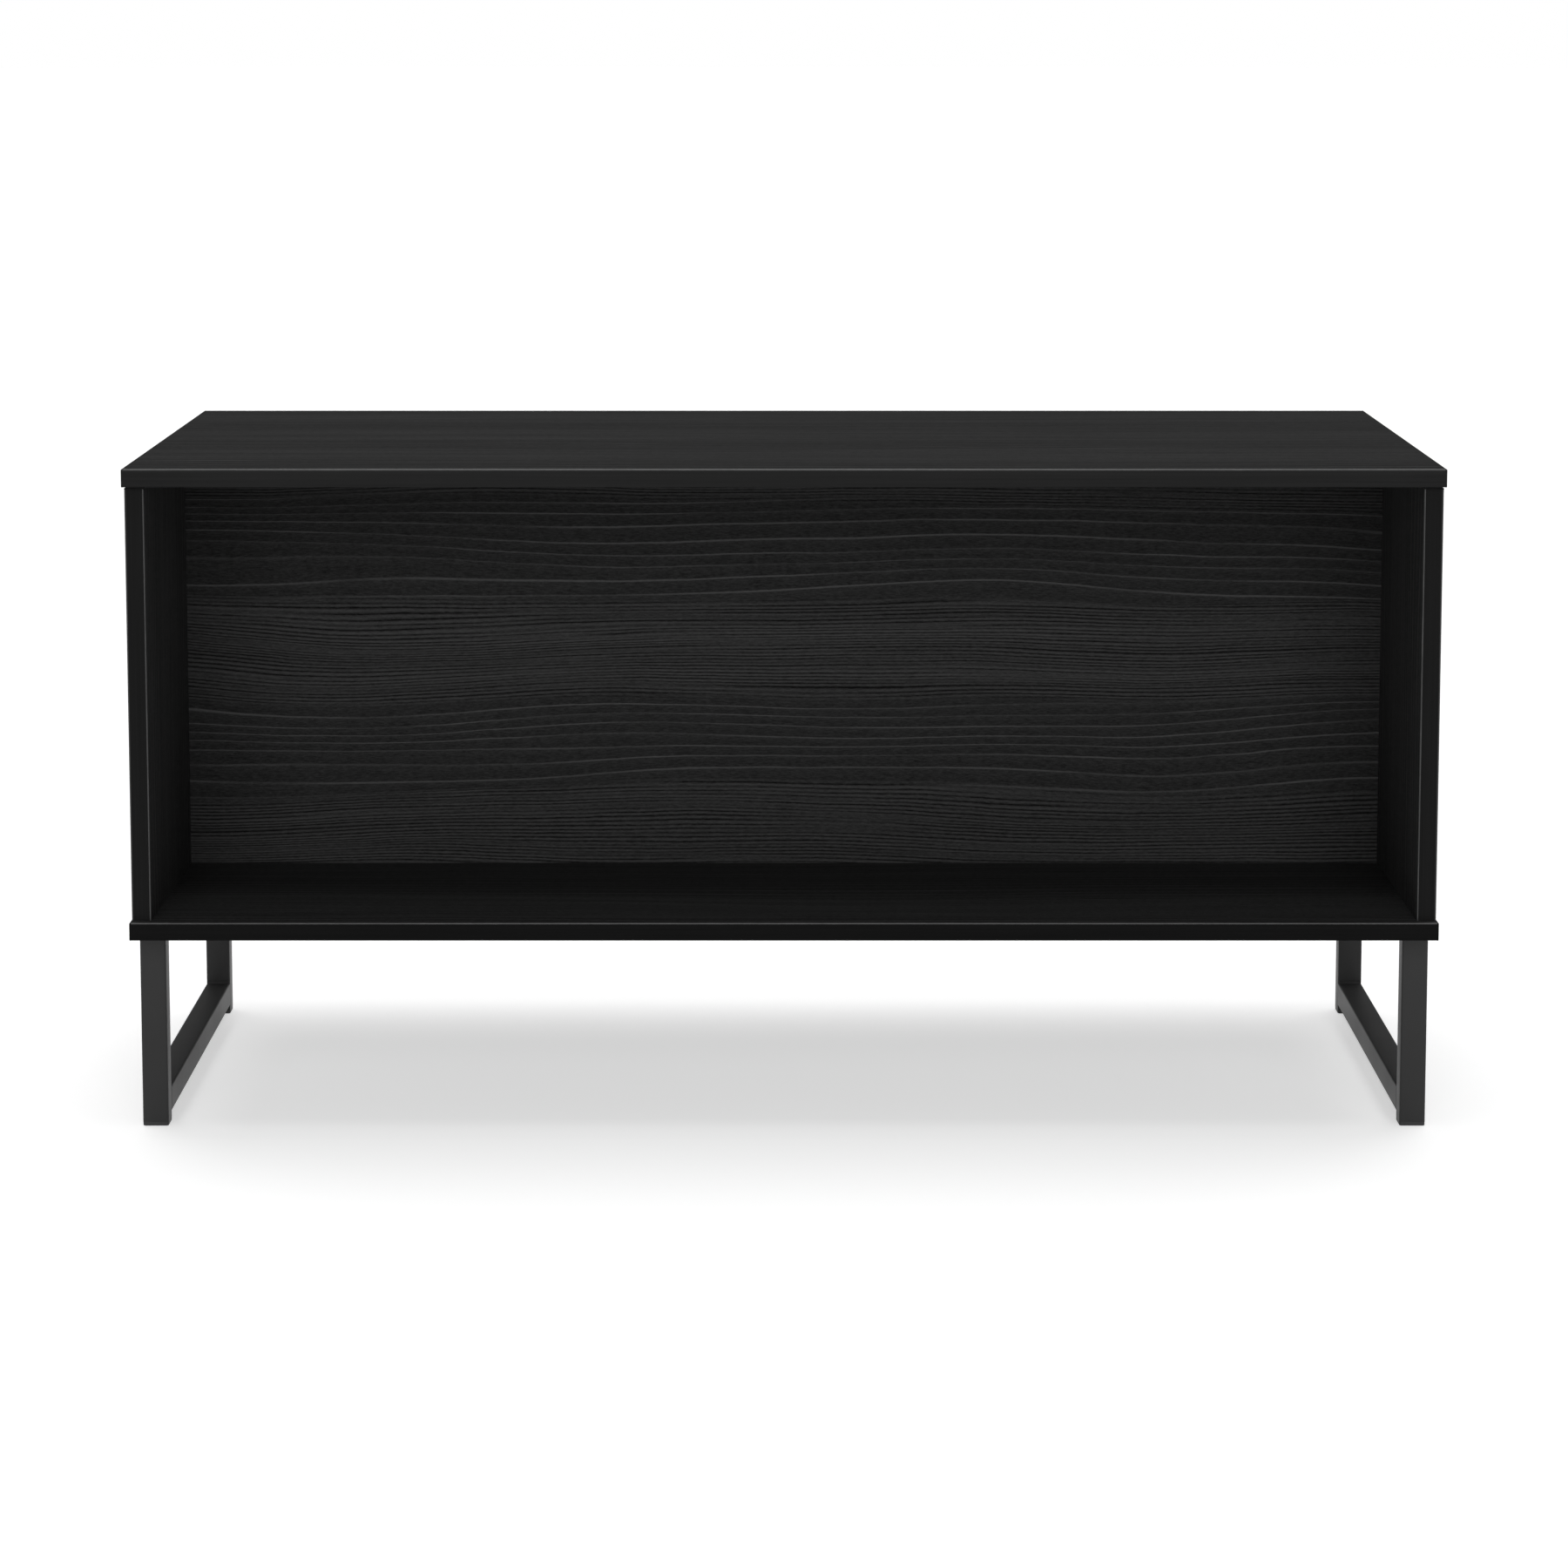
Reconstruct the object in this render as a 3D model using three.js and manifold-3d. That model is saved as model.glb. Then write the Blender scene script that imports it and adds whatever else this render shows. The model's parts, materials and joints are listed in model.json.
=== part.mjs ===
// A lift top coffee table: an open shelf at the front, a storage well behind it, two sled legs,
// and a top that rises up and forward on a pair of parallel-arm lift mechanisms.
// Millimetres. X to the right, Y to the back, Z up. The floor is Z = 0 and the centre of the table X = Y = 0.
import * as THREE from "three";
import { mergeVertices } from "three/addons/utils/BufferGeometryUtils.js";
import Module from "manifold-3d";

// ---- Overall sizes
const WIDTH = 1000;
const DEPTH = 500;
const HEIGHT = 517;
const LEG_HEIGHT = 155; // floor to the underside of the bottom slab

// ---- Boards
const SLAB = 14; // top slab and bottom slab
const BOARD = 15; // side panels, divider and back panel
const SIDE_SETBACK = 1; // slab end to the outer face of a side panel
const EDGE_SETBACK = 8; // slab edge to the front or back edge of a side panel
const LID_GAP = 1; // closed top to the boards under it, the thickness of a bumper
const DIVIDER_FRONT = -5; // Y of the divider's front face

// ---- Sled legs
const TUBE = 20; // square tube
const TUBE_WALL = 1.5;
const TUBE_CORNER = 2; // outside corner radius
const LEG_INSET = 2; // slab end to the outer face of a leg
const LEG_SETBACK = 41; // slab edge to the face of a leg
const RAIL_RISE = 7; // floor to the underside of a rail
const FOOT = 3; // thickness of a foot under its leg
const FOOT_PLUG = 12; // length of a foot inside its leg
const LEG_PLATE = 2.5; // thickness of the plate on top of a leg
const LEG_PLATE_LENGTH = 72;
const LEG_SCREW_STEPS = [14, 38]; // screws, along the plate from the back of the leg

// ---- Lift mechanism: sizes across the table are counted inwards from a side panel's inner face
const ARM_WIDTH = 18;
const ARM_REST = -10; // degrees above the horizontal, pointing to the back
const ARM_GAP = 3; // least space between an arm and the spring's end beside it
const WELL_CLEARANCE = 7; // a level arm's end to the back panel
const PIVOT_SETBACK = 20; // divider to the front base pivot
const PIVOT_DROP = 31; // front base pivot below the closed top's underside
const PIVOT_SLOPE = -42.5; // degrees, direction from the front base pivot to the rear one
const BASE_PLATE = 2.5;
const ARM_PLANE = [5, 8];
const BRACKET_PLANE = [1, 3.5];
const FLANGE = 30; // width of a bracket's flange under the top
const BRACKET_BAND = 18; // height of a bracket where it carries no pivot
const PIVOT_MARGIN = 12; // metal round a pivot in a plate
const PIN = 4; // pin radius where an arm turns on it
const PIN_CLEARANCE = 0.1;
const PRESS_CLEARANCE = 0.05;
const SYNC_BAR = 6; // radius of the bar that joins the two front arms
const SYNC_BAR_AT = 75; // along a front arm from its base pivot

// ---- Torsion springs round the front base pivots
const WIRE = 1.4; // wire radius
const SPRING_GAP = 0.3; // the wire's end to the edge of its arm
const COIL = ARM_WIDTH / 2 + WIRE + SPRING_GAP; // mean radius: the end runs along the arm's edge
const COIL_TURNS = 5;
const COIL_PITCH = 3.3;
const COIL_START = ARM_PLANE[1] + WIRE + 0.6;
const SPRING_END = 46; // along the arm, where the wire turns under it

// ---- Screws
const SCREW = 1.9; // shank radius
const SCREW_HEAD = 4;
const SCREW_HEAD_HEIGHT = 1.9;
const SCREW_BITE = 10; // depth of a screw in a board

const ROUND = 28; // sides of a pin or a pin hole
const SMALL_ROUND = 12; // sides of a screw, a bumper or a screw hole
const CORNER_STEPS = 8; // flats in a rounded corner of a plate
const EPS = 1; // how far a cutter runs past the face it opens

const halfWidth = WIDTH / 2;
const halfDepth = DEPTH / 2;
const bottomTop = LEG_HEIGHT + SLAB; // upper face of the bottom slab
const topUnder = HEIGHT - SLAB; // underside of the closed top
const boardTop = topUnder - LID_GAP;
const panelOuter = halfWidth - SIDE_SETBACK;
const panelInner = panelOuter - BOARD;
const panelY = halfDepth - EDGE_SETBACK;
const dividerBack = DIVIDER_FRONT + BOARD;

const wellBack = panelY - BOARD;

// Pivots in Y and Z with the top closed. The arms stay clear of each other at both ends of their travel,
// and as long as the well leaves room for.
const rad = THREE.MathUtils.degToRad;
const armSpread = ARM_WIDTH + 2 * WIRE + SPRING_GAP + ARM_GAP;
const pivotSpacing = armSpread / Math.sin(rad(ARM_REST - PIVOT_SLOPE));
const pivotF = new THREE.Vector2(dividerBack + PIVOT_SETBACK, topUnder - PIVOT_DROP);
const pivotR = pivotF.clone().add(polar(pivotSpacing, PIVOT_SLOPE));
const armLength = wellBack - WELL_CLEARANCE - ARM_WIDTH / 2 - pivotR.x;
const armF = pivotF.clone().add(polar(armLength, ARM_REST));
const armR = pivotR.clone().add(polar(armLength, ARM_REST));

// ---- Materials
const COLOURS = {
  woodTop: [0x2b2a29, 0.5, 0],
  woodBoard: [0x272423, 0.55, 0],
  paint: [0x343433, 0.45, 0.3],
  steel: [0x9a9c9e, 0.35, 0.9],
  spring: [0x6f7276, 0.3, 0.9],
  screw: [0xb8b8b4, 0.3, 0.9],
  plastic: [0x1b1b1b, 0.6, 0],
};
const materials = {};
for (const [name, [color, roughness, metalness]] of Object.entries(COLOURS)) {
  materials[name] = new THREE.MeshStandardMaterial({ name, color, roughness, metalness });
}

const wasm = await Module();
wasm.setup();

const table = new THREE.Group();
table.name = "lift_top_coffee_table";

function polar(length, degrees) {
  return new THREE.Vector2(Math.cos(rad(degrees)), Math.sin(rad(degrees))).multiplyScalar(length);
}

// ---- Solids
function toSolid(geometry) {
  const bare = new THREE.BufferGeometry();
  const loose = geometry.index ? geometry.toNonIndexed() : geometry;
  bare.setAttribute("position", loose.getAttribute("position"));
  const merged = mergeVertices(bare, 1e-3);
  return new wasm.Manifold(
    new wasm.Mesh({
      numProp: 3,
      vertProperties: merged.attributes.position.array,
      triVerts: new Uint32Array(merged.index.array),
    }),
  );
}

function toGeometry(solid) {
  const mesh = solid.getMesh();
  const geometry = new THREE.BufferGeometry();
  geometry.setAttribute("position", new THREE.BufferAttribute(mesh.vertProperties, 3));
  geometry.setIndex(new THREE.BufferAttribute(mesh.triVerts, 1));
  geometry.computeVertexNormals();
  return geometry;
}

function cut(geometry, cutters) {
  let solid = toSolid(geometry);
  for (const cutter of cutters) {
    solid = solid.subtract(toSolid(cutter));
  }
  return toGeometry(solid);
}

function join(first, ...others) {
  let solid = toSolid(first);
  for (const other of others) {
    solid = solid.add(toSolid(other));
  }
  return toGeometry(solid);
}

// ---- Basic shapes, placed in the table's frame
function box([x0, x1], [y0, y1], [z0, z1]) {
  const geometry = new THREE.BoxGeometry(x1 - x0, y1 - y0, z1 - z0);
  geometry.translate((x0 + x1) / 2, (y0 + y1) / 2, (z0 + z1) / 2);
  return geometry;
}

// A turned piece along X: profile is [inward distance, radius] pairs from a side panel's inner face.
function turnedX(profile, y, z, sides) {
  const points = profile.map(([inward, radius]) => new THREE.Vector2(radius, -inward));
  const geometry = new THREE.LatheGeometry(points.reverse(), sides);
  geometry.rotateZ(-Math.PI / 2);
  geometry.translate(panelInner, y, z);
  return geometry;
}

function cylinderZ(radius, x, y, [z0, z1], sides) {
  const geometry = new THREE.CylinderGeometry(radius, radius, z1 - z0, sides);
  geometry.rotateX(Math.PI / 2);
  geometry.translate(x, y, (z0 + z1) / 2);
  return geometry;
}

// A flat plate parallel to a side panel: shape is drawn in Y and Z, plane is its span counted inwards.
function plateX(shape, [near, far]) {
  const geometry = new THREE.ExtrudeGeometry(shape, {
    depth: far - near,
    bevelEnabled: false,
    curveSegments: CORNER_STEPS,
  });
  const cycle = new THREE.Matrix4().set(0, 0, 1, 0, 1, 0, 0, 0, 0, 1, 0, 0, 0, 0, 0, 1);
  geometry.applyMatrix4(cycle);
  geometry.translate(panelInner - far, 0, 0);
  return geometry;
}

function pinHole({ x, y }, radius) {
  const hole = new THREE.Path();
  for (let i = 0; i < ROUND; i++) {
    const angle = (2 * Math.PI * i) / ROUND;
    const at = [x + radius * Math.cos(angle), y + radius * Math.sin(angle)];
    if (i === 0) hole.moveTo(...at);
    else hole.lineTo(...at);
  }
  hole.closePath();
  return hole;
}

// A closed outline with each corner rounded to its own radius.
function roundedShape(corners) {
  const shape = new THREE.Shape();
  corners.forEach(([x, y, radius], i) => {
    const before = corners[(i + corners.length - 1) % corners.length];
    const after = corners[(i + 1) % corners.length];
    const here = new THREE.Vector2(x, y);
    const from = towards(here, before, radius);
    const to = towards(here, after, radius);
    if (i === 0) shape.moveTo(from.x, from.y);
    else shape.lineTo(from.x, from.y);
    if (radius > 0) shape.quadraticCurveTo(x, y, to.x, to.y);
  });
  shape.closePath();
  return shape;
}

function towards(point, [x, y], distance) {
  return new THREE.Vector2(x, y).sub(point).setLength(distance).add(point);
}

// ---- Building the tree of named pieces
function add(name, geometry, material) {
  const mesh = new THREE.Mesh(geometry, materials[material]);
  mesh.name = name;
  table.add(mesh);
  return mesh;
}

// A piece on the right-hand side and its mirror image on the left.
function addPair(name, geometry, material) {
  add(name + "_right", geometry, material);
  add(name + "_left", geometry, material).scale.x = -1;
}

// ---- Screws
const baseScrews = [
  [pivotF.x - 7, topUnder - 97],
  [pivotF.x + 44, topUnder - 97],
];
const bracketX = panelInner - BRACKET_PLANE[0];
const flangeMiddle = bracketX - FLANGE * 0.62;
const bracketEnd = armR.x + PIVOT_MARGIN;
const bracketStart = pivotF.x;
const bracketScrews = [bracketStart + 22, bracketEnd - 22];
const legX = halfWidth - LEG_INSET - TUBE / 2;
const legY = halfDepth - LEG_SETBACK - TUBE / 2;

// A pan-head screw: its head stands on level 0, and its shank runs down through a sheet and into a board.
function screwProfile(sheet) {
  return [
    [0, -sheet - SCREW_BITE + 1],
    [SCREW * 0.4, -sheet - SCREW_BITE + 1],
    [SCREW, -sheet - SCREW_BITE + 4],
    [SCREW, 0],
    [SCREW_HEAD, 0],
    [SCREW_HEAD, SCREW_HEAD_HEIGHT * 0.45],
    [SCREW_HEAD * 0.6, SCREW_HEAD_HEIGHT],
    [0, SCREW_HEAD_HEIGHT],
  ].map(([radius, height]) => new THREE.Vector2(radius, height));
}

function screwUp(x, y, z, sheet) {
  const geometry = new THREE.LatheGeometry(screwProfile(sheet), SMALL_ROUND);
  geometry.rotateX(-Math.PI / 2);
  geometry.translate(x, y, z);
  return geometry;
}

function screwOutwards(y, z) {
  const geometry = new THREE.LatheGeometry(screwProfile(BASE_PLATE), SMALL_ROUND);
  geometry.rotateZ(Math.PI / 2);
  geometry.translate(panelInner - BASE_PLATE, y, z);
  return geometry;
}

function pilotZ(x, y, z) {
  return cylinderZ(SCREW + PRESS_CLEARANCE * 2, x, y, [z - EPS, z + SCREW_BITE], SMALL_ROUND);
}

function pilotX(y, z) {
  const radius = SCREW + PRESS_CLEARANCE * 2;
  const geometry = new THREE.CylinderGeometry(radius, radius, SCREW_BITE + EPS, SMALL_ROUND);
  geometry.rotateZ(Math.PI / 2);
  geometry.translate(panelInner + (SCREW_BITE - EPS) / 2, y, z);
  return geometry;
}

// ---- The boards
function makeBoards() {
  const full = [-halfWidth, halfWidth];
  const inside = [-panelInner, panelInner];
  const deep = [-halfDepth, halfDepth];
  const upright = [bottomTop, boardTop];

  const topPilots = [];
  for (const y of bracketScrews) {
    topPilots.push(pilotZ(flangeMiddle, y, topUnder), pilotZ(-flangeMiddle, y, topUnder));
  }
  add("top_slab", cut(box(full, deep, [topUnder, HEIGHT]), topPilots), "woodTop");

  const bottomPilots = [];
  for (const [, x, y] of legScrewPlaces()) {
    bottomPilots.push(pilotZ(x, y, LEG_HEIGHT));
  }
  add("bottom_slab", cut(box(full, deep, [LEG_HEIGHT, bottomTop]), bottomPilots), "woodBoard");

  const side = box([panelInner, panelOuter], [-panelY, panelY], upright);
  const sidePilots = baseScrews.map(([y, z]) => pilotX(y, z));
  addPair("side_panel", cut(side, sidePilots), "woodBoard");

  add("centre_divider", box(inside, [DIVIDER_FRONT, dividerBack], upright), "woodBoard");
  add("back_panel", box(inside, [wellBack, panelY], upright), "woodBoard");
}

// ---- The bumpers that the closed top rests on
function makeBumpers() {
  const x = (panelInner + panelOuter) / 2;
  const span = [boardTop, topUnder];
  addPair("front_bumper", cylinderZ(5, x, -panelY + 30, span, SMALL_ROUND), "plastic");
  addPair("rear_bumper", cylinderZ(5, x, panelY - 30, span, SMALL_ROUND), "plastic");
}

// ---- The sled legs
function squareShape(width, corner) {
  const h = width / 2;
  return roundedShape([
    [-h, -h, corner],
    [h, -h, corner],
    [h, h, corner],
    [-h, h, corner],
  ]);
}

function tube(length) {
  const shape = squareShape(TUBE, TUBE_CORNER);
  shape.holes.push(squareShape(TUBE - 2 * TUBE_WALL, TUBE_CORNER - TUBE_WALL));
  return new THREE.ExtrudeGeometry(shape, { depth: length, bevelEnabled: false, curveSegments: 3 });
}

function makeLeg(name, front) {
  const sign = front ? -1 : 1;
  const y = sign * legY;
  const leg = tube(LEG_HEIGHT - LEG_PLATE - FOOT);
  leg.translate(legX, y, FOOT);
  addPair(name + "_leg", leg, "paint");

  const outer = sign * (legY + TUBE / 2);
  const inner = outer - sign * LEG_PLATE_LENGTH;
  const across = [legX - TUBE / 2, legX + TUBE / 2];
  const along = [Math.min(outer, inner), Math.max(outer, inner)];
  const plate = box(across, along, [LEG_HEIGHT - LEG_PLATE, LEG_HEIGHT]);
  const holes = legScrewSteps(sign).map((at) =>
    cylinderZ(SCREW + 0.3, legX, at, [LEG_HEIGHT - LEG_PLATE - EPS, LEG_HEIGHT + EPS], SMALL_ROUND),
  );
  addPair(name + "_leg_plate", cut(plate, holes), "paint");
  addPair(name + "_foot", makeFoot(legX, y), "plastic");
}

function makeFoot(x, y) {
  const pad = new THREE.ExtrudeGeometry(squareShape(TUBE - 1, TUBE_CORNER), {
    depth: FOOT - 1,
    bevelThickness: 1,
    bevelSize: 0.5,
    bevelOffset: 0,
    bevelSegments: 2,
    curveSegments: 3,
  });
  pad.translate(0, 0, 1);
  const trim = box([-TUBE, TUBE], [-TUBE, TUBE], [FOOT, FOOT + 5]);
  const plug = new THREE.ExtrudeGeometry(squareShape(TUBE - 2 * TUBE_WALL - 0.6, 1), {
    depth: FOOT_PLUG + 1,
    bevelEnabled: false,
    curveSegments: 2,
  });
  plug.translate(0, 0, FOOT - 1);
  const foot = join(cut(pad, [trim]), plug);
  foot.translate(x, y, 0);
  return foot;
}

function legScrewSteps(sign) {
  return LEG_SCREW_STEPS.map((step) => sign * (legY - TUBE / 2 - step));
}

// Every leg screw: its name, and its place in plan.
function legScrewPlaces() {
  const places = [];
  for (const [name, sign] of [["front", -1], ["rear", 1]]) {
    legScrewSteps(sign).forEach((y, i) => {
      places.push([`${name}_leg_screw_${i + 1}_right`, legX, y]);
      places.push([`${name}_leg_screw_${i + 1}_left`, -legX, y]);
    });
  }
  return places;
}

function makeLegs() {
  makeLeg("front", true);
  makeLeg("rear", false);
  const rail = tube(2 * (legY - TUBE / 2));
  rail.rotateX(-Math.PI / 2);
  rail.translate(legX, -(legY - TUBE / 2), RAIL_RISE + TUBE / 2);
  addPair("bottom_rail", rail, "paint");
  for (const [name, x, y] of legScrewPlaces()) {
    add(name, screwUp(x, y, LEG_HEIGHT - LEG_PLATE, LEG_PLATE), "screw");
  }
}

// ---- The lift mechanism, drawn with the top closed
function armShape(from, to) {
  const along = to.clone().sub(from).normalize();
  const across = new THREE.Vector2(-along.y, along.x).multiplyScalar(ARM_WIDTH / 2);
  const start = Math.atan2(across.y, across.x);
  const shape = new THREE.Shape();
  shape.absarc(from.x, from.y, ARM_WIDTH / 2, start, start + Math.PI, false);
  shape.absarc(to.x, to.y, ARM_WIDTH / 2, start + Math.PI, start + 2 * Math.PI, false);
  shape.closePath();
  shape.holes.push(pinHole(from, PIN + PIN_CLEARANCE), pinHole(to, PIN + PIN_CLEARANCE));
  return shape;
}

function makeBasePlate() {
  const top = pivotF.y + PIVOT_MARGIN - 2;
  const low = topUnder - 108;
  const front = pivotF.x - 16;
  const back = pivotR.x + PIVOT_MARGIN + 9;
  const shape = roundedShape([
    [front, low, 6],
    [back, low, 6],
    [back, pivotR.y + 2, 8],
    [pivotF.x + 24, top, 8],
    [front, top, 6],
  ]);
  shape.holes.push(pinHole(pivotF, PIN + PRESS_CLEARANCE), pinHole(pivotR, PIN + PRESS_CLEARANCE));
  for (const [y, z] of baseScrews) {
    shape.holes.push(pinHole(new THREE.Vector2(y, z), SCREW + 0.3));
  }
  addPair("base_plate", plateX(shape, [0, BASE_PLATE]), "steel");
}

function makeBracket() {
  const band = topUnder - BRACKET_BAND;
  const shape = roundedShape([
    [bracketStart, topUnder, 0],
    [bracketStart, band, 6],
    [armF.x - 46, band, 20],
    [armF.x - PIVOT_MARGIN - 2, armF.y, 8],
    [armR.x - PIVOT_MARGIN - 4, armR.y - PIVOT_MARGIN, 8],
    [bracketEnd, armR.y - PIVOT_MARGIN, 8],
    [bracketEnd, topUnder, 0],
  ]);
  shape.holes.push(pinHole(armF, PIN + PRESS_CLEARANCE), pinHole(armR, PIN + PRESS_CLEARANCE));
  const web = plateX(shape, BRACKET_PLANE);
  const thickness = BRACKET_PLANE[1] - BRACKET_PLANE[0];
  const flangeZ = [topUnder - thickness, topUnder];
  const flange = box([bracketX - FLANGE, bracketX], [bracketStart, bracketEnd], flangeZ);
  const holes = bracketScrews.map((y) =>
    cylinderZ(SCREW + 0.3, flangeMiddle, y, [flangeZ[0] - EPS, topUnder + EPS], SMALL_ROUND),
  );
  addPair("top_bracket", cut(join(web, flange), holes), "steel");
  for (const [name, y] of [["front", bracketScrews[0]], ["rear", bracketScrews[1]]]) {
    addPair(name + "_bracket_screw", screwUp(flangeMiddle, y, flangeZ[0], thickness), "screw");
  }
}

// The stepped pin of a front base pivot: rivet, collar, running part, spring arbor and retaining head.
function arborProfile() {
  const [near, far] = ARM_PLANE;
  const end = COIL_START + COIL_TURNS * COIL_PITCH + WIRE + 1.2;
  return [
    [0.3, 0],
    [0.3, PIN],
    [BASE_PLATE, PIN],
    [BASE_PLATE, PIN + 3],
    [near - 0.2, PIN + 3],
    [near - 0.2, PIN],
    [far + 0.2, PIN],
    [far + 0.2, COIL - WIRE - 0.6],
    [end, COIL - WIRE - 0.6],
    [end, COIL + WIRE],
    [end + 1.5, COIL + WIRE],
    [end + 2.5, COIL + WIRE - 1],
    [end + 2.5, 0],
  ];
}

// A plain pivot pin through a plate on the span held and an arm: rivet, collar, running part and head.
function pinProfile(held) {
  const [near, far] = ARM_PLANE;
  return [
    [Math.max(held[0] - 0.7, 0.3), 0],
    [Math.max(held[0] - 0.7, 0.3), PIN],
    [held[1], PIN],
    [held[1], PIN + 3],
    [near - 0.2, PIN + 3],
    [near - 0.2, PIN],
    [far + 0.2, PIN],
    [far + 0.2, PIN + 3],
    [far + 1.6, PIN + 3],
    [far + 2.6, PIN + 1.5],
    [far + 2.6, 0],
  ];
}

function makePins() {
  const base = [0, BASE_PLATE];
  addPair("front_base_pin", turnedX(arborProfile(), pivotF.x, pivotF.y, ROUND), "steel");
  addPair("rear_base_pin", turnedX(pinProfile(base), pivotR.x, pivotR.y, ROUND), "steel");
  addPair("front_top_pin", turnedX(pinProfile(BRACKET_PLANE), armF.x, armF.y, ROUND), "steel");
  addPair("rear_top_pin", turnedX(pinProfile(BRACKET_PLANE), armR.x, armR.y, ROUND), "steel");
}

// The centre line of a torsion spring: a coil round the pivot, then an end that runs along under the arm
// and turns outwards below its edge.
class SpringLine extends THREE.Curve {
  constructor() {
    super();
    this.points = [];
    const along = polar(1, ARM_REST);
    const below = polar(1, ARM_REST - 90);
    const place = (inward, u, v) => {
      const y = pivotF.x + along.x * u + below.x * v;
      const z = pivotF.y + along.y * u + below.y * v;
      this.points.push(new THREE.Vector3(panelInner - inward, y, z));
    };
    const stepsPerTurn = 16;
    const steps = COIL_TURNS * stepsPerTurn;
    for (let i = steps; i >= 0; i--) {
      const angle = (2 * Math.PI * i) / stepsPerTurn;
      place(COIL_START + (COIL_PITCH * i) / stepsPerTurn, -COIL * Math.sin(angle), COIL * Math.cos(angle));
    }
    for (const u of [8, 20, 32, SPRING_END - 4]) {
      place(COIL_START, u, COIL);
    }
    place(COIL_START - 0.6, SPRING_END - 1.2, COIL);
    place(COIL_START - 2.4, SPRING_END, COIL);
    place(ARM_PLANE[0] + 1, SPRING_END, COIL);
  }
  getPoint(t) {
    const last = this.points.length - 1;
    const at = Math.min(t * last, last);
    const i = Math.min(Math.floor(at), last - 1);
    return this.points[i].clone().lerp(this.points[i + 1], at - i);
  }
  getPointAt(t) {
    return this.getPoint(t);
  }
  getTangentAt(t) {
    return this.getTangent(t);
  }
}

function makeSpring() {
  const line = new SpringLine();
  const section = new THREE.Shape();
  const sides = 6;
  for (let i = 0; i < sides; i++) {
    const angle = (2 * Math.PI * i) / sides;
    const at = [WIRE * Math.cos(angle), WIRE * Math.sin(angle)];
    if (i === 0) section.moveTo(...at);
    else section.lineTo(...at);
  }
  section.closePath();
  const geometry = new THREE.ExtrudeGeometry(section, {
    steps: line.points.length - 1,
    extrudePath: line,
    bevelEnabled: false,
  });
  addPair("torsion_spring", geometry, "spring");
}

function makeSyncBar() {
  const at = pivotF.clone().add(polar(SYNC_BAR_AT, ARM_REST));
  const length = 2 * (panelInner - ARM_PLANE[1]);
  const bar = new THREE.CylinderGeometry(SYNC_BAR, SYNC_BAR, length, ROUND / 2);
  bar.rotateZ(Math.PI / 2);
  bar.translate(0, at.x, at.y);
  add("sync_bar", bar, "steel");
}

function makeMechanism() {
  makeBasePlate();
  addPair("front_arm", plateX(armShape(pivotF, armF), ARM_PLANE), "steel");
  addPair("rear_arm", plateX(armShape(pivotR, armR), ARM_PLANE), "steel");
  makeBracket();
  makePins();
  makeSpring();
  makeSyncBar();
  baseScrews.forEach(([y, z], i) => addPair(`base_plate_screw_${i + 1}`, screwOutwards(y, z), "screw"));
}

makeBoards();
makeBumpers();
makeLegs();
makeMechanism();

export default table;
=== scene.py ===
"""Looks of a lift top coffee table: laminated boards, sled legs of square tube and two lift mechanisms.

Laid out as an add-on and run as a script. Metres, X to the right, Y to the back, Z up, floor at Z = 0.
"""
import json
import math

import bmesh
import bpy
from bpy.props import FloatProperty, FloatVectorProperty, IntProperty, PointerProperty
from mathutils import Matrix, Vector


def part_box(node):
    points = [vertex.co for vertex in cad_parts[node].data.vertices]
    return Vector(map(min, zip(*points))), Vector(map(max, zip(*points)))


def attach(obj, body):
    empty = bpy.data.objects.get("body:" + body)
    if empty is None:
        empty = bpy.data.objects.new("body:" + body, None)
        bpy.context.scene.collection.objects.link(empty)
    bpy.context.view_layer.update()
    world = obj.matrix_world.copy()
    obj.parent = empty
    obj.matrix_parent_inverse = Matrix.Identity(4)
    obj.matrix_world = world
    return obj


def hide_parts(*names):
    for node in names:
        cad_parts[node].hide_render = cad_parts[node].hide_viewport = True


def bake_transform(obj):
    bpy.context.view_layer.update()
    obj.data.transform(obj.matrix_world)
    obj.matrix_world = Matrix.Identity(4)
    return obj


bl_info = {
    "name": "Lift top coffee table",
    "version": (1, 0, 0),
    "blender": (4, 5, 0),
    "location": "3D View > Sidebar > Table",
    "description": "Builds the looks of a lift top coffee table round its packed frame",
    "category": "Object",
}

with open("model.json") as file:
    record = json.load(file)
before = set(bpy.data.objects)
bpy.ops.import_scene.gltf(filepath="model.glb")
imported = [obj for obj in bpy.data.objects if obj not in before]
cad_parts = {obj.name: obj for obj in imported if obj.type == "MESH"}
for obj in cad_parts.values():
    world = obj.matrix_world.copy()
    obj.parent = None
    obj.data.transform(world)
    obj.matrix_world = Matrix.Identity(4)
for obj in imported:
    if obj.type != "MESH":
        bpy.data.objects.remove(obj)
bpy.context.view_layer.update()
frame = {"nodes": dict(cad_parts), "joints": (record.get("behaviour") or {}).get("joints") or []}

MM = 0.001
SIDES = {"right": 1, "left": -1}

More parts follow.
